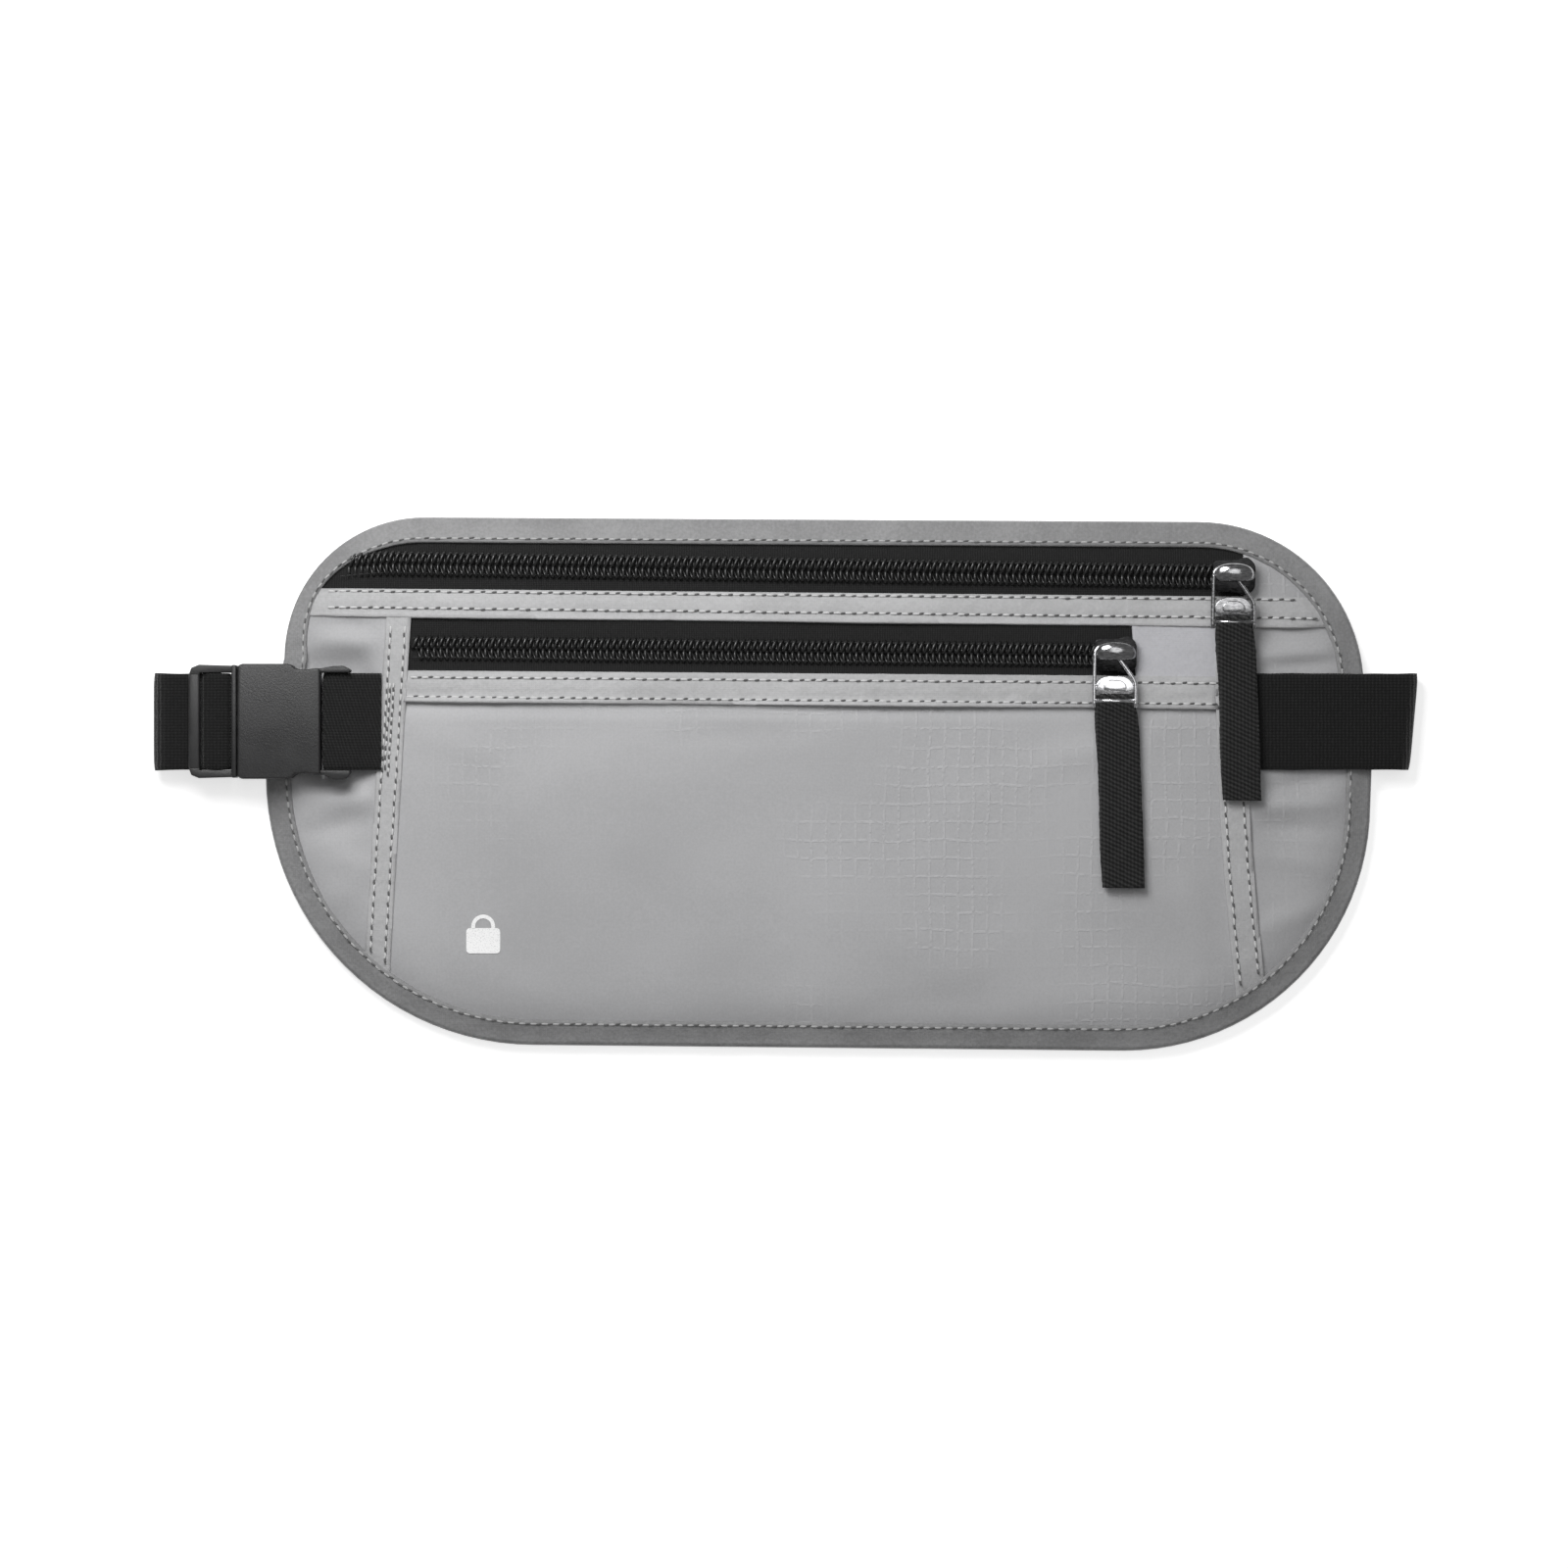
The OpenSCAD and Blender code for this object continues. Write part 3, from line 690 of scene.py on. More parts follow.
def strips():
    """The four stitched strips, and the covers past the zips' ends."""
    side_top = below_line(TOP_STRIP_LOWER, 0.4)
    pieces = (
        ("top_strip", "top_facing_strip", [below_line(TOP_STRIP_UPPER), above_line(TOP_STRIP_LOWER)],
         STRIP_LIFT, STRIP_INSET, strip_relief(TOP_SEAM)),
        ("front_strip", "front_facing_strip",
         [below_line(FRONT_STRIP_UPPER), above_line(FRONT_STRIP_LOWER),
          right_of_seam(LEFT_STRIP_RIGHT, -0.6), left_of_seam(RIGHT_STRIP_LEFT, 0.6)],
         STRIP_LIFT, EDGE_INSET, strip_relief(FRONT_SEAM)),
        ("left_strip", "left_side_strip",
         [side_top, right_of_seam(LEFT_STRIP_LEFT), left_of_seam(LEFT_STRIP_RIGHT)],
         SIDE_STRIP_LIFT, STRIP_INSET, None),
        ("right_strip", "right_side_strip",
         [side_top, right_of_seam(RIGHT_STRIP_LEFT), left_of_seam(RIGHT_STRIP_RIGHT)],
         SIDE_STRIP_LIFT, STRIP_INSET, over_strap_end))
    for name, node, cuts, lift, inset, shape in pieces:
        strip = panel(name, cuts, lift, STRIP_T, TRIM, inset=inset, shape=shape)
        stand_in(strip, node)
    corner = panel("top_end_cover", [above_line(TOP_STRIP_UPPER, -1), right_of(TOP_ZIP_END_X)],
                   COVER_LIFT, COVER_T, SIDE_SHELL)
    stand_in(corner, "top_zip_end_cover")
    cuts = [below_line(TOP_STRIP_LOWER, 1), above_line(FRONT_STRIP_UPPER, -1),
            right_of_seam(FRONT_COVER_EDGE), left_of_seam(RIGHT_STRIP_LEFT, 1)]
    cover = panel("front_end_cover", cuts, COVER_LIFT, COVER_T, COVER)
    stand_in(cover, "front_zip_end_cover")


def back_fabric():
    """The outer back, and the layers inside, which only the edges of the zips could show."""
    back = panel("back_fabric", [], 0, SHELL_T, BACK_SHELL, spacing=3, height=back_height)
    stand_in(back, "back_panel")
    lining("rear_lining", "back_lining", 1)
    lining("divider_cloth", "pocket_divider", 2)
    lining("front_lining_cloth", "front_lining", 3)


def binding_share(points):
    """How wide the binding shows here: it is narrower round the top left corner."""
    p = np.asarray(points)
    corner = np.exp(-(((p[:, 0] + 124) / 17) ** 2) - ((p[:, 1] - 53) / 17) ** 2)
    return 1 - 0.36 * corner


def between(a, b, t):
    """The point at share t of the way from a to b."""
    return a[0] * (1 - t) + b[0] * t, a[1] * (1 - t) + b[1] * t


def stations(inset, step=2.0):
    """Points along the outline moved inward; the same index is the same place at any inset."""
    outer = outline(0)
    inner = [between(a, b, share) for a, b, share in zip(outer, outline(inset), binding_share(outer))]
    out = []
    for i in range(len(outer)):
        j = (i + 1) % len(outer)
        count = max(1, round(math.dist(outer[i], outer[j]) / step))
        out += [between(inner[i], inner[j], k / count) for k in range(count)]
    return np.array(out)


def gathered(points):
    """Small gathers where the binding turns the corners at the top."""
    p = np.asarray(points)
    at_corner = ramp(p[:, 1], 34, 50) * ramp(np.abs(p[:, 0]), 98, 116)
    return at_corner * bumps(p, 2.4, 2.4, 6.0)


def strip_faces(bm, rows):
    """Faces between neighbouring rings of vertices, each ring closed on itself."""
    for a, b in rows:
        for i in range(len(a)):
            j = (i + 1) % len(a)
            bm.faces.new((a[i], a[j], b[j], b[i]))


def edge_binding():
    """Tape folded over the pouch's edge, from its front seam round to its back one."""
    lift = 1.05
    sink = 0.5
    tucked_in = 1.0
    top_insets = [BINDING_W, BINDING_W - 0.25, 5.4, 4.0, 2.6, 1.3, 0.45]
    bottom_insets = [0.45, 1.5, 3.2, 5.2, BINDING_W - 0.25, BINDING_W]
    rows = []
    for i, inset in enumerate(top_insets):
        points = stations(inset)
        drop = {0: tucked_in, 1: 0.12}.get(i, 0.0)
        waves = 0.24 * bumps(points, 5, 5, 1.0) + 0.35 * gathered(points)
        rows.append((points, front_height(points) + lift - drop + waves))
    edge = stations(0.0)
    rows.append((edge, (front_height(edge) + back_height(edge)) / 2))
    for i, inset in enumerate(bottom_insets):
        points = stations(inset)
        tucked = 0.4 if i == len(bottom_insets) - 1 else 0.0
        rows.append((points, back_height(points) - sink + tucked))
    bm = bmesh.new()
    grid = [[bm.verts.new((x, y, z)) for (x, y), z in zip(points, heights)] for points, heights in rows]
    strip_faces(bm, zip(grid, grid[1:] + grid[:1]))
    bmesh.ops.recalc_face_normals(bm, faces=bm.faces)
    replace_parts(new_object("binding", bm, BINDING, "root"), "edge_binding")


# ---- Stitching --------------------------------------------------------------------------------

STITCH_PITCH = 2.92
# How the dark beads of painted needle-hole shade wander, slant and reach under the stitches
HOLE_SHADE_DRIFT = 0.35
HOLE_SHADE_SLANT = 0.16
HOLE_SHADE_OVERLAP = 0.35
EDGE_STITCH_INSET = BINDING_W - 1.15
# Places along a stitch, as shares of its length, and how thick it is there
STITCH_RINGS = ((-0.5, 0.25), (-0.36, 0.8), (-0.12, 1.0), (0.12, 1.0), (0.36, 0.8), (0.5, 0.25))


def resample(points, pitch):
    """Points evenly spaced along a line, each with its direction."""
    points = np.asarray(points, float)
    steps = np.linalg.norm(np.diff(points, axis=0), axis=1)
    run = np.concatenate([[0], np.cumsum(steps)])
    out = []
    for s in np.arange(pitch / 2, run[-1], pitch):
        i = max(min(np.searchsorted(run, s) - 1, len(steps) - 1), 0)
        t = (s - run[i]) / steps[i]
        out.append((points[i] * (1 - t) + points[i + 1] * t, (points[i + 1] - points[i]) / steps[i]))
    return out


def close_ends(bm, rings):
    """Caps on the first and the last of a row of rings."""
    bm.faces.new(rings[0][::-1])
    bm.faces.new(rings[-1])


def bead(bm, centre, direction, length, radius, flat=0.7, sides=6):
    """A short rounded stitch."""
    along = Vector((direction[0], direction[1], 0)).normalized()
    side = Vector((-along.y, along.x, 0))
    rings = []
    for place, share in STITCH_RINGS:
        ring = []
        for k in range(sides):
            a = 2 * math.pi * k / sides
            offset = (side * math.cos(a) + Vector((0, 0, math.sin(a) * flat))) * radius * share
            ring.append(bm.verts.new(Vector(centre) + along * place * length + offset))
        rings.append(ring)
    strip_faces(bm, zip(rings, rings[1:]))
    close_ends(bm, rings)


def stitch_row(name, line, lift, pitch=STITCH_PITCH, length=1.9, radius=0.30, height=front_height,
               material=THREAD, with_hole_shade=True):
    """One row of stitches along a line across the pouch, and dark beads between them: painted shade in
    the needle holes.
    """
    spots = resample(line, pitch)
    heights = height(np.array([place for place, _ in spots])) + lift
    bm = bmesh.new()
    for (place, direction), z in zip(spots, heights):
        bead(bm, (*place, z), direction, length, radius)
    new_object(name, bm, material, "root")
    if not with_hole_shade:
        return
    # Painted shade: a dark bead in each needle hole between the stitches
    bm = bmesh.new()
    for (place, direction), z, drift in zip(spots, heights, bumps([s[0] for s in spots], 2.3, 2.3, 5.0)):
        sideways = np.array((-direction[1], direction[0]))
        spot = place + direction * pitch / 2 + sideways * HOLE_SHADE_DRIFT * drift
        bead(bm, (*spot, z), direction + sideways * HOLE_SHADE_SLANT, pitch - length + HOLE_SHADE_OVERLAP,
             radius * 0.95, flat=0.75)
    new_object(f"{name}_pricks", bm, STITCH_SHADE, "root")


def across(line, up, start, end):
    """Points along a seam across the front."""
    return [(x, line[0] + line[1] * x + up) for x in np.linspace(start, end, 60)]


def down(seam, right, start, end):
    """Points down a seam up the front, bent as the fabric is."""
    out = []
    for y in np.linspace(start, end, 40):
        x = seam[0] + seam[1] * y + right
        out.append((x + float(right_bend(np.array([x]), np.array([y]))[0]), y))
    return out


def inside_binding(points):
    """The stretch of a line that the binding leaves in view."""
    points = np.asarray(points)
    return points[edge_distance(points) > BINDING_W * binding_share(points) + 0.2]


def over_strip(seam):
    """The height of the cloth on a strip across the front."""
    relief = strip_relief(seam)
    return lambda p: front_height(p) + relief(p)


def over_side_strip(p):
    """The height of the cloth on a strip up the side."""
    return front_height(p) + over_strap_end(p)


def stitching():
    """Every row of stitches outside the zips and the pull tabs."""
    lift = STRIP_LIFT + 0.17
    loop = stations(EDGE_STITCH_INSET)
    loop = np.vstack([loop, loop[:1]])
    stitch_row("binding_stitches", loop, 1.12, length=1.75, radius=0.27, material=EDGE_THREAD)
    stitch_row("back_binding_stitches", loop[:-1], -0.55, length=1.75, radius=0.27, height=back_height,
               material=EDGE_THREAD)
    rows = (("top_strip_stitches_a", TOP_SEAM, TOP_STRIP_UPPER, -0.7, LEFT, RIGHT),
            ("top_strip_stitches_b", TOP_SEAM, TOP_STRIP_LOWER, 2.2, LEFT, RIGHT),
            ("front_strip_stitches_a", FRONT_SEAM, FRONT_STRIP_UPPER, -1.8, -97.5, 111.5),
            ("front_strip_stitches_b", FRONT_SEAM, FRONT_STRIP_LOWER, 1.1, -98.5, 112.0))
    for name, seam, line, up, start, end in rows:
        row = inside_binding(across(line, up, start, end))
        stitch_row(name, row, lift, height=over_strip(seam))
    rows = (("left_strip_stitches_a", LEFT_STRIP_LEFT, 1.35),
            ("left_strip_stitches_b", LEFT_STRIP_RIGHT, -1.35),
            ("right_strip_stitches_a", RIGHT_STRIP_LEFT, 1.45),
            ("right_strip_stitches_b", RIGHT_STRIP_RIGHT, -1.5))
    for name, seam, right in rows:
        row = inside_binding(down(seam, right, 41.5, -62))
        stitch_row(name, row, lift + 0.15, height=over_side_strip)
    for name, right, pitch, length in (("tab_tack_a", 3.1, 2.2, 1.2), ("tab_tack_b", 2.1, 2.5, 1.4)):
        tacks = down(LEFT_STRIP_LEFT, right, STRAP_Y + 10.5, STRAP_Y - 13)
        stitch_row(name, tacks, lift + 0.2, pitch=pitch, length=length)


# ---- Zips -------------------------------------------------------------------------------------

SLIDER_FLOOR_Z = box_mm("top_slider")[0][2]
COIL_PITCH = 1.66
COIL_WIRE = 0.40


def on_zip(line, x, y, z=0.0):
    """A point of a zip's own frame, in the pouch's frame."""
    turned = Matrix.Rotation(math.atan(line[1]), 3, "Z") @ Vector((x, y, z))
    return turned + Vector((0, line[0], 0))


def tube(bm, points, radius, sides=6):
    """Sweeps a round wire along points."""
    points = [Vector(p) for p in points]
    rings = []
    normal = Vector((0, 0, 1))
    for i, p in enumerate(points):
        along = (points[min(i + 1, len(points) - 1)] - points[max(i - 1, 0)]).normalized()
        normal = normal - along * normal.dot(along)
        normal = normal.normalized() if normal.length > 1e-6 else along.orthogonal().normalized()
        side = along.cross(normal)
        rings.append([bm.verts.new(p + (normal * math.cos(a) + side * math.sin(a)) * radius)
                      for a in (2 * math.pi * k / sides for k in range(sides))])
    strip_faces(bm, zip(rings, rings[1:]))
    close_ends(bm, rings)


COIL_SLANT = 0.35
COIL_Z = SLIDER_FLOOR_Z + 2.0
COIL_REACH = 1.42
COIL_WIDE = 1.5
COIL_TALL = 0.7
COIL_STEPS = 10


def end_dip(x):
    """The coil runs down under the binding at its closed end."""
    return -1.2 * (1 - ramp(x, -118, -102))


def zip_coil(name, node, line, side, start, end):
    """One half of a zip: a nylon wire wound so that its heads reach past the middle."""
    first = start + (COIL_PITCH / 2 if side < 0 else 0.0)
    count = int((end - start) / COIL_PITCH) * COIL_STEPS
    places = [(first + COIL_PITCH * i / COIL_STEPS, 2 * math.pi * i / COIL_STEPS) for i in range(count)]
    middles = np.array([on_zip(line, x, 0)[:2] for x, _ in places])
    heights = front_height(middles) + TAPE_LIFT + 0.6
    heights += np.maximum(COIL_Z - heights, 0) * ramp(middles[:, 0], -112, -100)
    points = []
    for (x, a), z in zip(places, heights):
        along = x + COIL_SLANT * (1 - math.cos(a))
        across_zip = side * (COIL_REACH - COIL_WIDE * math.cos(a)) + end_dip(x)
        points.append(on_zip(line, along, across_zip, z + COIL_TALL * math.sin(a * side)))
    bm = bmesh.new()
    tube(bm, points, COIL_WIRE)
    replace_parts(new_object(name, bm, COIL, "root"), node)


def zip_tapes(which, line, upper_cuts, lower_cuts, sides):
    """The two woven tapes, which meet under the coil."""
    upper = [above_line(line)] + upper_cuts + sides
    lower = [below_line(line)] + lower_cuts + sides
    for half, cuts in (("upper", upper), ("lower", lower)):
        tape = panel(f"{which}_{half}_tape", cuts, TAPE_LIFT, TAPE_T, ZIP_TAPE, spacing=2.5)
        stand_in(tape, f"{which}_zip_{half}_tape")


def zips():
    """Both zips' tapes, coils and the black stitches along the coils."""
    zip_tapes("top", TOP_COIL, [], [above_line(TOP_SEAM)], [left_of(TOP_ZIP_END_X + 3)])
    zip_tapes("front", FRONT_COIL, [below_line(TOP_SEAM)], [above_line(FRONT_SEAM)],
              [right_of_seam(LEFT_SEAM), left_of(FRONT_ZIP_END_X + 3)])
    # Where each half of a coil starts and ends: at the top left corner the lower half starts sooner
    spans = (("top", "upper", TOP_COIL, 1, -113.0, 118.5),
             ("top", "lower", TOP_COIL, -1, -115.5, 118.5),
             ("front", "upper", FRONT_COIL, 1, -96.5, 89.5),
             ("front", "lower", FRONT_COIL, -1, -96.5, 89.5))
    for which, half, line, side, start, end in spans:
        zip_coil(f"{which}_{half}_teeth", f"{which}_zip_{half}_coil", line, side, start, end)
        seam = [on_zip(line, x, side * 2.45 + end_dip(x))[:2] for x in np.arange(start, end, 4)]
        stitch_row(f"{which}_{half}_coil_stitches", seam, 1.4 + TAPE_LIFT, pitch=COIL_PITCH, length=1.3,
                   radius=0.17, material=BLACK_THREAD, with_hole_shade=False)


# ---- Sliders, pullers and their tabs ----------------------------------------------------------


def placed(obj, line, x):
    """Turns a piece from its slider's own frame into the pouch's frame."""
    turn = Matrix.Rotation(math.atan(line[1]), 4, "Z")
    spot = on_zip(line, x, 0) * MM
    obj.data.transform(Matrix.Translation(spot) @ turn)
    return obj


def prism(bm, points, low, high):
    """A closed solid over an outline, from low to high."""
    rings = [[bm.verts.new((x, y, z)) for x, y in points] for z in (low, high)]
    close_ends(bm, rings)
    strip_faces(bm, [rings])


def rounded(points, r, steps=4):
    """An outline with its corners rounded."""
    out = []
    count = len(points)
    for i in range(count):
        p = Vector(points[i])
        a = Vector(points[i - 1]) - p
        b = Vector(points[(i + 1) % count]) - p
        reach = min(r, a.length * 0.45, b.length * 0.45)
        start = p + a.normalized() * reach
        end = p + b.normalized() * reach
        for k in range(steps + 1):
            t = k / steps
            out.append(tuple(start * (1 - t) ** 2 + p * 2 * t * (1 - t) + end * t**2))
    return out


SLIDER_TOP_Z = box_mm("top_slider")[1][2]
CROWN_Z = SLIDER_TOP_Z - 0.8
ROOF_Z = CROWN_Z - 3.2
ROOF_T = 1.0
CROWN_REACH = 4.4
CROWN_THICK = 1.15
ARCH_STEPS = 20
ARCH_SIDES = 24
TOP_SLIDER_X = 116.6
FRONT_SLIDER_X = 85.8


def slider_body(name, node, line, x, body):
    """Shield-shaped roof and floor, joined by the wedge, with rims beside the coils."""
    half = [(-5.4, 3.2), (-4.4, 4.1), (0.6, 4.2), (3.4, 5.1), (5.6, 3.2)]
    shield = rounded(half + [(a, -b) for a, b in reversed(half)], 1.2)
    wedge = rounded([(-1, -0.4), (1.5, -0.4), (1.5, 0.4), (-1, 0.4)], 0.1)
    bm = bmesh.new()
    prism(bm, shield, ROOF_Z, ROOF_Z + ROOF_T)
    prism(bm, shield, SLIDER_FLOOR_Z, SLIDER_FLOOR_Z + 0.8)
    prism(bm, wedge, SLIDER_FLOOR_Z + 0.4, ROOF_Z + 0.5)
    for side in (-1, 1):
        rim = [(-4.4, side * 3.45), (1.4, side * 3.5), (1.4, side * 4.0), (-4.4, side * 3.95)]
        prism(bm, rim[::side], ROOF_Z - 1.1, ROOF_Z + 0.4)
    obj = placed(new_object(name, bm, DARK_METAL, body), line, x)
    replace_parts(bevel(obj, 0.28), node)


def slider_crown(name, line, x, body):
    """The arched bridge on a slider's roof, which its puller hangs from."""
    rise = SLIDER_TOP_Z - ROOF_Z - 1.4
    bm = bmesh.new()
    rows = []
    for i in range(ARCH_STEPS + 1):
        a = math.pi * i / ARCH_STEPS
        bow = math.sin(a) ** 0.55
        centre = Vector((-CROWN_REACH * math.cos(a), 0.9 * bow, ROOF_Z + 0.3 + rise * bow))
        half_width = 1.3 + 1.1 * math.sin(a) ** 0.7
        out = Vector((-math.cos(a), 0, math.sin(a))) * CROWN_THICK
        turns = [2 * math.pi * k / ARCH_SIDES for k in range(ARCH_SIDES)]
        rows.append([bm.verts.new(centre + Vector((0, half_width * math.cos(b), 0)) + out * math.sin(b))
                     for b in turns])
    strip_faces(bm, zip(rows, rows[1:]))
    close_ends(bm, rows)
    bmesh.ops.recalc_face_normals(bm, faces=bm.faces)
    placed(new_object(name, bm, CROWN_METAL, body), line, x)


PULLER_Z = CROWN_Z - 1.1
PULLER_HALF = 5.35
CROSSBAR_Y = -12.0
TACK_Y = CROSSBAR_Y - 5.0


def puller(name, node, line, x, body, material):
    """A wire eye through the crown, an embossed plate, and side rails either side of the webbing."""
    right = PULLER_HALF
    left = -PULLER_HALF
    eye = [(left, -13.7), (left, -9), (left, -4), (left + 0.1, -0.1)]
    eye += arc(left + 2.2, 0.1, 2.1, 180, 80, 8)
    eye += [(-1.8, 1.8), (-0.6, 0.9), (0.7, -0.6), (2.2, -2.6), (3.8, -4.8), (right - 0.3, -6.8),
            (right, -9), (right, -13.7)]
    bm = bmesh.new()
    tube(bm, smooth_path([(px, py, PULLER_Z) for px, py in eye], 4), 0.55, sides=10)
    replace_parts(placed(new_object(name, bm, material, body), line, x), node)
    shape = [(-4.9, -10.2), (4.9, -10.2), (4.9, -7.6), (3.0, -5.6), (-2.4, -5.4), (-4.9, -7.2)]
    emboss = [(-2.9, -9.4), (3.0, -9.4), (3.0, -7.8), (1.6, -6.6), (-1.5, -6.5), (-2.9, -7.6)]
    plate = bmesh.new()
    prism(plate, rounded(shape, 1.4), PULLER_Z - 0.45, PULLER_Z + 0.35)
    prism(plate, rounded(emboss, 0.9), PULLER_Z - 0.2, PULLER_Z + 0.75)
    bevel(placed(new_object(f"{name}_plate", plate, material, body), line, x), 0.22)
    bar = bmesh.new()
    tube(bar, [(px, CROSSBAR_Y, PULLER_Z) for px in (left, 0, right)], 0.6, sides=12)
    placed(new_object(f"{name}_crossbar", bar, material, body), line, x)


def smooth_path(points, steps):
    """A Catmull-Rom curve through points."""
    p = [Vector(v) for v in points]
    p = [p[0] * 2 - p[1]] + p + [p[-1] * 2 - p[-2]]
    out = []
    for a, b, c, d in zip(p, p[1:], p[2:], p[3:]):
        for k in range(steps):
            t = k / steps
            out.append(0.5 * (2 * b + (c - a) * t + (2 * a - 5 * b + 4 * c - d) * t**2
                              + (3 * b - a - 3 * c + d) * t**3))
    return out + [p[-2]]


def ribbon(bm, path, widths, thickness, side, columns=10):
    """A flat closed band along a path, with rounded selvages; side is the direction of its width."""
    count = len(path)
    rows = []
    for i, p in enumerate(path):
        along = (path[min(i + 1, count - 1)] - path[max(i - 1, 0)]).normalized()
        up = side.cross(along).normalized()
        top, bottom = [], []
        for k in range(columns + 1):
            t = -1 + 2 * k / columns
            spot = p + side * t * widths[i] / 2
            rise = up * thickness / 2 * (1 - 0.65 * abs(t) ** 8)
            top.append(bm.verts.new(spot + rise))
            bottom.append(bm.verts.new(spot - rise))
        rows.append(top + bottom[::-1])
    strip_faces(bm, zip(rows, rows[1:]))
    close_ends(bm, rows)
    bmesh.ops.recalc_face_normals(bm, faces=bm.faces)


TAB_T = 1.9
TAB_STEPS = 64


def pull_tab(name, node, line, x, body, size, rest_z, lean, bump):
    """Webbing folded round the crossbar and hanging double, its cut end square."""
    length, width = size
    slope = math.tan(math.radians(lean))
    path, widths = [], []
    for i in range(TAB_STEPS + 1):
        t = i / TAB_STEPS
        height = rest_z + (PULLER_Z + 0.2 - rest_z) * math.exp(-t * 9)
        height += bump * math.exp(-((t - 0.62) / 0.3) ** 2)
        roll = -1.2 * math.exp(-((t * 42) ** 2))
        curl = 1.62 * max(0, t - 0.9)
        path.append(Vector((slope * t * length + 0.25 * math.sin(t * 5), CROSSBAR_Y + 1.35 - t * length,
                            height + roll + curl)))
        widths.append(width - 1.2 * math.exp(-((t * length / 4) ** 2)) + 0.2 * math.sin(t * 11)
                      + 0.35 * noise.noise(Vector((t * 30, lean, 0))))
    bm = bmesh.new()
    ribbon(bm, path, widths, TAB_T, Vector((1, 0, 0)))
    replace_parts(placed(new_object(name, bm, WEBBING, body), line, x), node)
    top = np.interp(TACK_Y, [p.y for p in path[::-1]], [p.z for p in path[::-1]]) + TAB_T / 2 + 0.03
    stitches = bmesh.new()
    for k in range(5):
        bead(stitches, (-3.4 + 1.7 * k + slope * 5.0, TACK_Y, top), (1, 0.1), 1.3, 0.16)
    placed(new_object(f"{name}_stitches", stitches, BLACK_THREAD, body), line, x)


def sliders():
    """Each zip's slider with its crown, puller and tab; the top tab rises over the belt's end."""
    # The top puller's darker plating is painted shade
    for which, line, x, size, rest_z, lean, bump, metal in (
            ("top", TOP_COIL, TOP_SLIDER_X, (47.5, 10.2), 9.6, 4.0, 0.55, SHADED_PULLER_METAL),
            ("front", FRONT_COIL, FRONT_SLIDER_X, (49.8, 11.2), 9.5, 3.6, 0.0, BRIGHT_METAL)):
        slider_body(f"{which}_slider_body", f"{which}_slider", line, x, f"{which}_slider")
        slider_crown(f"{which}_slider_body_crown", line, x, f"{which}_slider")
        puller(f"{which}_puller_eye", f"{which}_puller", line, x, f"{which}_puller", metal)
        pull_tab(f"{which}_tab", f"{which}_pull_tab", line, x, f"{which}_pull_tab",
                 size, rest_z, lean, bump)


# ---- Belt, buckle and badge -------------------------------------------------------------------


BELT_TOP_Z = 8.9
BELT_TAIL_Z = 7.8
BELT_BACK_Z = 0.55
BELT_INNER_Z = 1.6
LEFT_FOLD_X = -159.2
RIGHT_FOLD_X = 159.8
LEFT_FOLD_Z = 4.7


def band(name, points, width, thickness, material, body, wave=0.0, slant=0.0):
    """Webbing laid along a path of (x, z) pairs; slant pulls its upper edge out at the right end."""
    path = smooth_path([(x, STRAP_Y, z) for x, z in points], 6)
    widths = [width + wave * noise.noise(Vector((p.x / 8, p.z / 8, 2.0))) for p in path]
    bm = bmesh.new()
    ribbon(bm, path, widths, thickness, Vector((0, 1, 0)), columns=24)
    if slant:
        for v in bm.verts:
            v.co.x += slant * (v.co.y - STRAP_Y) * float(ramp(v.co.x, 135, 160))
    return new_object(name, bm, material, body)


def round_fold(x, z, r, side):
    """Half a turn from top to bottom; side is 1 for a fold at the right."""
    angles = np.linspace(0.2, math.pi - 0.2, 7)
    return [(x + side * r * math.sin(a), z + r * math.cos(a)) for a in angles]


def belt():
    """One elastic belt: sewn on at the right, behind the pouch, and through the plug at the left."""
    top = BELT_TOP_Z
    tail = BELT_TAIL_Z
    points = [(119, 7.75), (126, 7.95), (134, 8.05), (142, 7.95), (150, 7.75), (156, 7.7)]
    points += round_fold(RIGHT_FOLD_X, 4.1, 3.6, 1)
    points += [(150, BELT_BACK_Z)] + [(x, BELT_BACK_Z) for x in range(130, -151, -20)]
    points += round_fold(LEFT_FOLD_X, LEFT_FOLD_Z, 4.2, -1)[::-1]
    # Up over the plug's bar, down behind it and back along itself
    points += [(-156, top), (-153, top), (-151.2, 9.2), (-150.45, 10.4), (-149.4, 11.5), (-147, 11.75),
               (-144.6, 11.5), (-143.75, 10.4), (-144.2, 8.9), (-146.5, tail + 0.05), (-152, tail),
               (-156, tail)]
    points += round_fold(LEFT_FOLD_X, LEFT_FOLD_Z, 3.1, -1)
    points += [(x, BELT_INNER_Z) for x in (-150, -120, -95, -70.5)]
    obj = band("belt", points, STRAP_W, STRAP_T, ELASTIC, None, wave=0.5, slant=0.09)
    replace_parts(obj, "strap_right_run", "strap_left_run")
    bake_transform(obj)


def buckle_webbing():
    """The tab that ties the buckle's socket to the pouch, folded round its bar."""
    points = [(-104.5, 7.3), (-110, 7.3), (-113.5, 8.4), (-117.6, 8.5), (-118.9, 9.3), (-118.95, 10.6),
              (-117.8, 11.35), (-113.5, 11.2), (-109.5, 9.0), (-104.5, 8.4)]
    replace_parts(band("buckle_loop", points, STRAP_W + 0.1, 1.05, TAB_WEBBING, "root"), "buckle_tab")


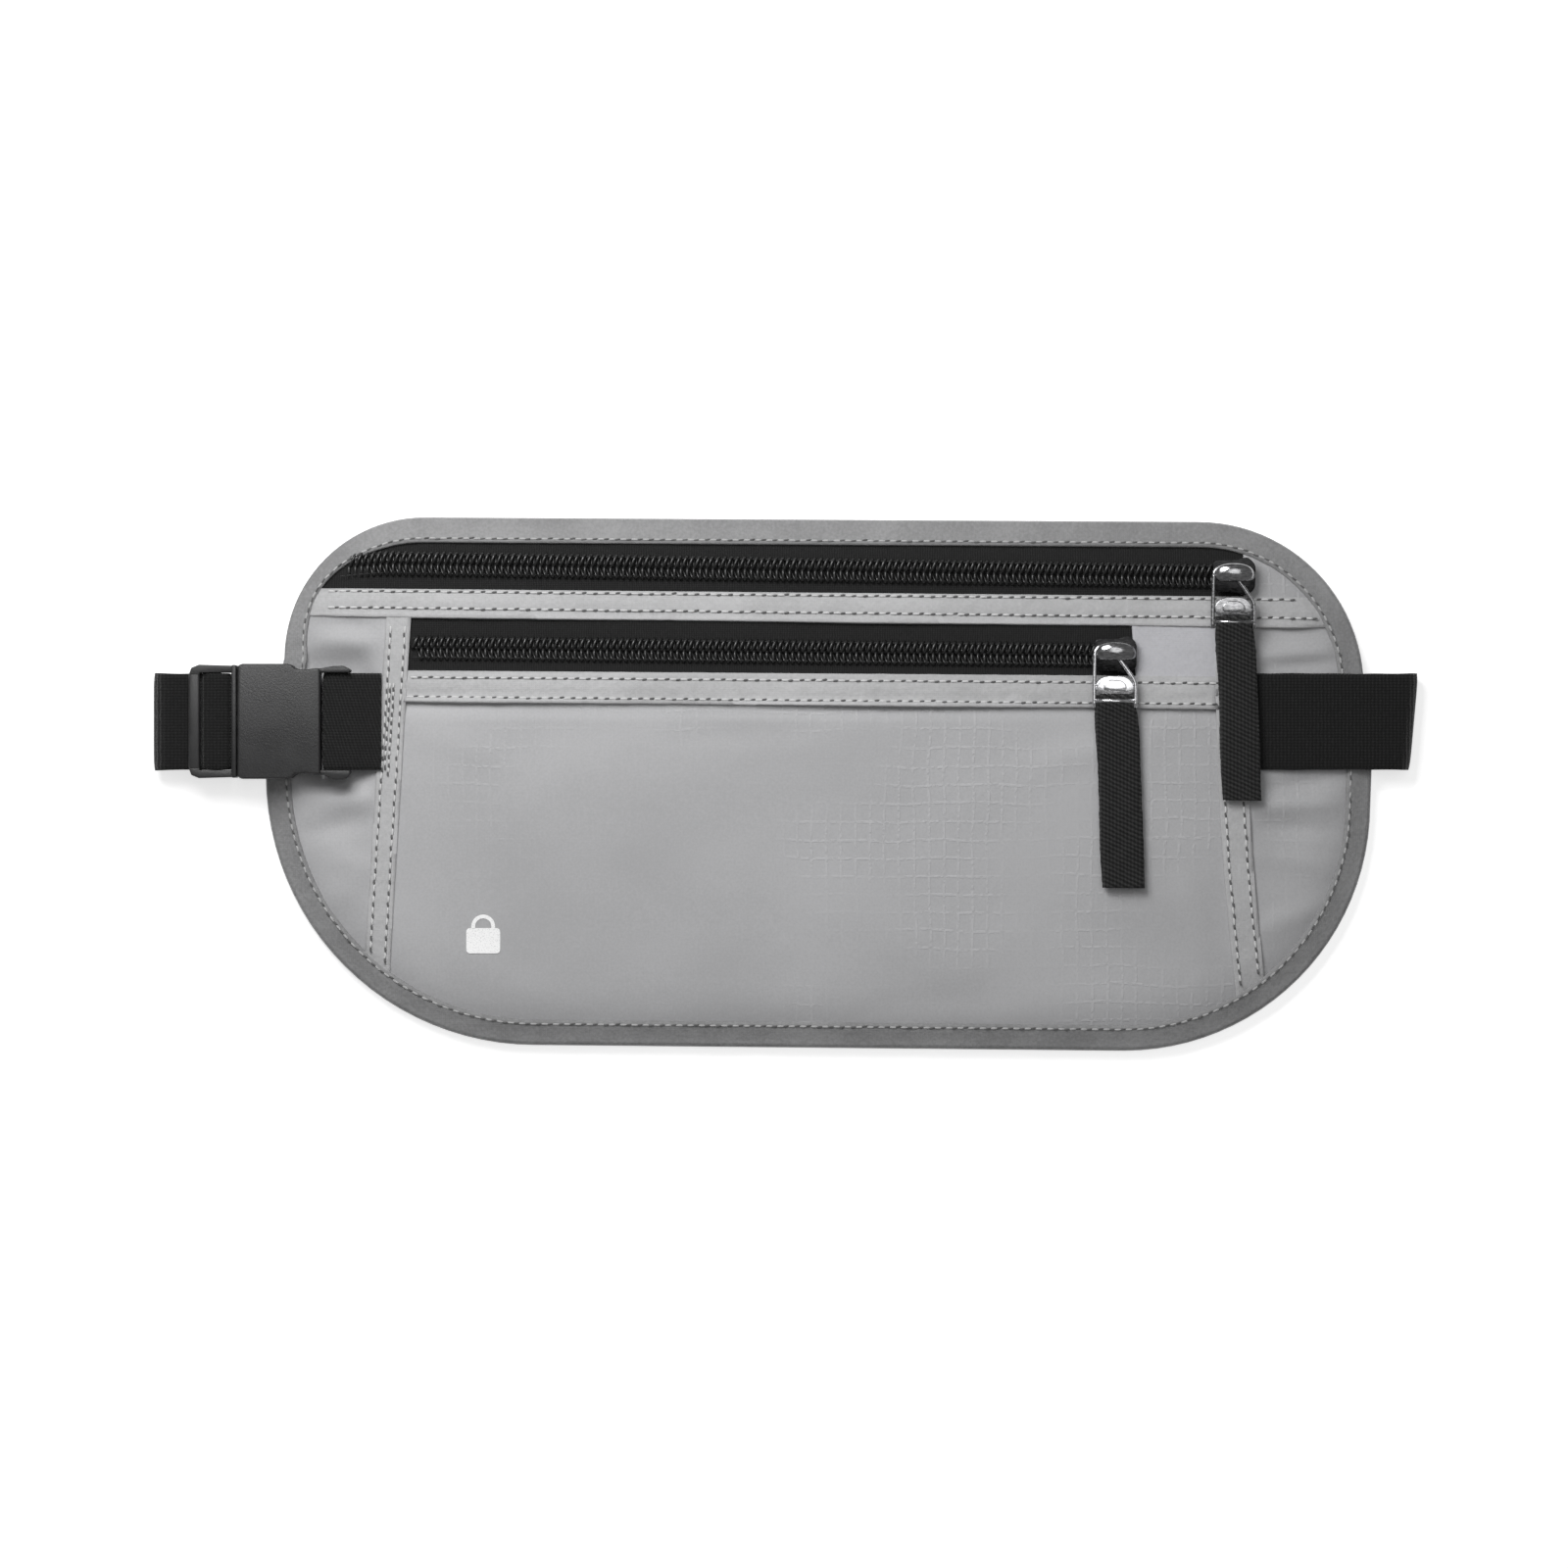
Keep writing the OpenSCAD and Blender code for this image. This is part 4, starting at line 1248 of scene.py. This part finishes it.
BUCKLE_LOW, BUCKLE_HIGH = box_mm("buckle_socket")
MOUTH_X = BUCKLE_LOW[0]
BUCKLE_HALF = (BUCKLE_HIGH[1] - BUCKLE_LOW[1]) / 2
SOCKET_LOW = BUCKLE_LOW[2]
SOCKET_HIGH = BUCKLE_HIGH[2]
SHELL_DEPTH = 1.5
PLUG_FRAME_Z = (8.7, 12.4)


def on_side(points, side):
    """An outline drawn from the belt's middle line, laid on one side of it."""
    return [(x, STRAP_Y + side * y) for x, y in points]


def mirrored(points):
    """An outline and its mirror image across the belt's middle, as one closed outline."""
    return on_side(points, 1) + on_side(reversed(points), -1)


def bar_outline(x0, x1, half):
    """A bar across the belt."""
    return mirrored([(x0, -half), (x1, -half)])


def block(name, outlines, low, high, material, body, edge=0.5, segments=3):
    """A moulded piece made of upright prisms, with rounded edges."""
    bm = bmesh.new()
    for points in outlines:
        prism(bm, points, low, high)
    bmesh.ops.recalc_face_normals(bm, faces=bm.faces)
    return bevel(new_object(name, bm, material, body), edge, segments)


def socket_part(name, points, low, high, edge=0.45, segments=3):
    """One moulded part of the socket; low and high are measured from its floor and its roof."""
    z0 = SOCKET_LOW + low
    z1 = SOCKET_HIGH - high
    return block(name, [points], z0, z1, PLASTIC, "root", edge, segments)


def socket():
    """Hollow housing: two shells, the side walls beside the windows, and the rails with their bar."""
    half = BUCKLE_HALF
    depth = SOCKET_HIGH - SOCKET_LOW
    shell = mirrored([(MOUTH_X, half - 0.7), (MOUTH_X + 0.9, half), (-128.6, half),
                      (-127.2, half - 0.3), (-126.3, half - 1.3), (-123.5, half - 1.5),
                      (-120.8, half - 1.1), (-119.9, half - 1.3)])
    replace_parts(socket_part("socket_top", shell, depth - SHELL_DEPTH, 0, 0.75, 4), "buckle_socket")
    socket_part("socket_bottom", shell, 0, depth - SHELL_DEPTH, 0.6)
    wall = [(MOUTH_X + 0.2, 13.8), (MOUTH_X + 0.2, 14.6), (-132.2, 14.7), (-132.2, 13.8)]
    back = [(-125.3, 11.9), (-125.3, 13.2), (-120.1, 13.3), (-120.1, 11.9)]
    for tag, side, out in (("upper", 1, 14.4), ("lower", -1, 15.1)):
        rail = [(-121.5, 12.6), (-121.5, 13.5), (-119.0, 13.9), (-116.5, out - 0.1), (-114.2, out),
                (-112.6, out - 0.7), (-112.0, 13.2), (-112.4, 12.6)]
        socket_part(f"socket_{tag}_wall", on_side(wall, side), 0.8, 0.8)
        socket_part(f"socket_{tag}_back_wall", on_side(back, side), 0.8, 0.8)
        socket_part(f"socket_{tag}_rail", on_side(rail, side), 0.9, 1.1)
    socket_part("socket_end_wall", bar_outline(-121.2, -119.95, 12.2), 0.9, 0.9, 0.3)
    block("socket_bar", [bar_outline(-116.7, -114.1, 13.2)], 9.2, 10.6, PLASTIC, "root", 0.45)


def plug():
    """Frame that the belt is threaded through, its flange, and the guide between the arms."""
    side = [(-141.6, 14.4), (-151.4, 14.7), (-153.4, 13.9), (-154.1, 12.0), (-151.2, 12.0),
            (-151.2, 12.6), (-143.0, 12.6)]
    both = [on_side(side, 1), on_side(side, -1)]
    low, high = PLUG_FRAME_Z
    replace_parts(block("plug_frame", both, low, high, DARK_PLASTIC, "buckle_plug"), "buckle_plug")
    # Each bar across the plug: its two x, half its length, its lowest and highest z, its rounding
    bars = (("plug_outer_bar", -154.1, -151.2, 12.4, 9.7, 12.5, 0.6),
            ("plug_bar", -148.4, -145.8, 13.0, 9.5, 10.9, 0.4),
            ("plug_flange", -142.9, -141.5, 14.6, 7.7, 14.1, 0.45),
            ("plug_guide", -141.9, -124.4, 2.0, 9.1, 12.7, 0.5))
    for name, x0, x1, half, low, high, edge in bars:
        block(name, [bar_outline(x0, x1, half)], low, high, DARK_PLASTIC, "buckle_plug", edge)


def arms():
    """The plug's arms keep their CAD shape, with softened edges."""
    for node in ("buckle_arm_upper", "buckle_arm_lower"):
        obj = bpy.data.objects[node]
        obj.data.materials.clear()
        obj.data.materials.append(DARK_PLASTIC)
        for polygon in obj.data.polygons:
            polygon.use_smooth = False
        bevel(obj, 0.35)


BADGE_X = -78.1
BADGE_Y = -38.6
PRINT_LIFT = 0.15
PRINT_T = 0.06


def badge():
    """A plain printed padlock, in the place of the belt's printed mark."""
    body = rounded([(-4.4, -5.4), (4.4, -5.4), (4.4, 1.2), (-4.4, 1.2)], 1.1)
    shackle = ([(3.1, 1.0)] + arc(0, 1.6, 3.1, 0, 180, 14) + [(-3.1, 1.0), (-2.1, 1.0)]
               + arc(0, 1.6, 2.1, 180, 0, 14) + [(2.1, 1.0)])
    bm = bmesh.new()
    for shape in (body, shackle):
        bm.faces.new([bm.verts.new((BADGE_X + x, BADGE_Y + y, 0)) for x, y in shape])
    bmesh.ops.triangulate(bm, faces=bm.faces)
    for step in range(-5, 6):
        for normal in ((1, 0), (0, 1)):
            cut(bm, (BADGE_X + step, BADGE_Y + step), normal, trim=False)
    points = np.array([v.co[:2] for v in bm.verts])
    for v, height in zip(bm.verts, front_height(points) + pocket_relief(points)):
        v.co.z = height + PRINT_LIFT
    obj = new_object("padlock_print", bm, PRINT, "root", smooth=False)
    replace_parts(solidify(obj, PRINT_T, 0), "printed_badge")


# ---- Studio, in metres ------------------------------------------------------------------------

PICTURE_WIDTH = 0.4072
CAMERA_HEIGHT = 1.5
SENSOR = 36.0
FLOOR_HALF = 1.5
FLOOR_Z = -0.0002
DAYLIGHT = 0.21


def area_light(name, place, size, energy):
    """A round soft light that faces the pouch."""
    light = bpy.data.lights.new(name, "AREA")
    light.shape = "DISK"
    light.size = size
    light.energy = energy
    obj = bpy.data.objects.new(name, light)
    obj.location = place
    obj.rotation_euler = Vector(place).to_track_quat("Z", "Y").to_euler()
    bpy.context.collection.objects.link(obj)


def stage_floor():
    """The white floor, a hair below the pouch."""
    side = FLOOR_HALF / MM
    bm = bmesh.new()
    corners = ((-side, -side), (side, -side), (side, side), (-side, side))
    bm.faces.new([bm.verts.new((x, y, 0)) for x, y in corners])
    floor = new_object("floor", bm, pale_floor(), None)
    floor.location.z = FLOOR_Z


def lights():
    """Even light all round, a soft lamp above, a nearer one at the top left, and a small glint."""
    world = bpy.data.worlds.new("studio")
    world.use_nodes = True
    background = world.node_tree.nodes["Background"]
    background.inputs["Color"].default_value = grey(1.0)
    background.inputs["Strength"].default_value = DAYLIGHT
    bpy.context.scene.world = world
    area_light("key", (-0.15, 0.27, 0.38), 0.30, 1.95)
    area_light("glint", (-0.10, 0.42, 0.62), 0.05, 0.45)
    area_light("top_light", (0.2, 0.25, 1.4), 0.8, 2.6)


def camera():
    """Straight above the pouch, as in the photograph."""
    lens = bpy.data.cameras.new("camera")
    lens.sensor_width = SENSOR
    lens.lens = SENSOR * CAMERA_HEIGHT / PICTURE_WIDTH
    lens.clip_start = 0.01
    eye = bpy.data.objects.new("camera", lens)
    eye.location = (0, 0, CAMERA_HEIGHT + FRONT_Z * MM)
    bpy.context.collection.objects.link(eye)
    bpy.context.scene.camera = eye
    bpy.context.scene.view_settings.view_transform = "Standard"


front_fabric()
strips()
back_fabric()
edge_binding()
zips()
sliders()
stitching()
belt()
buckle_webbing()
socket()
plug()
arms()
badge()
stage_floor()
lights()
camera()
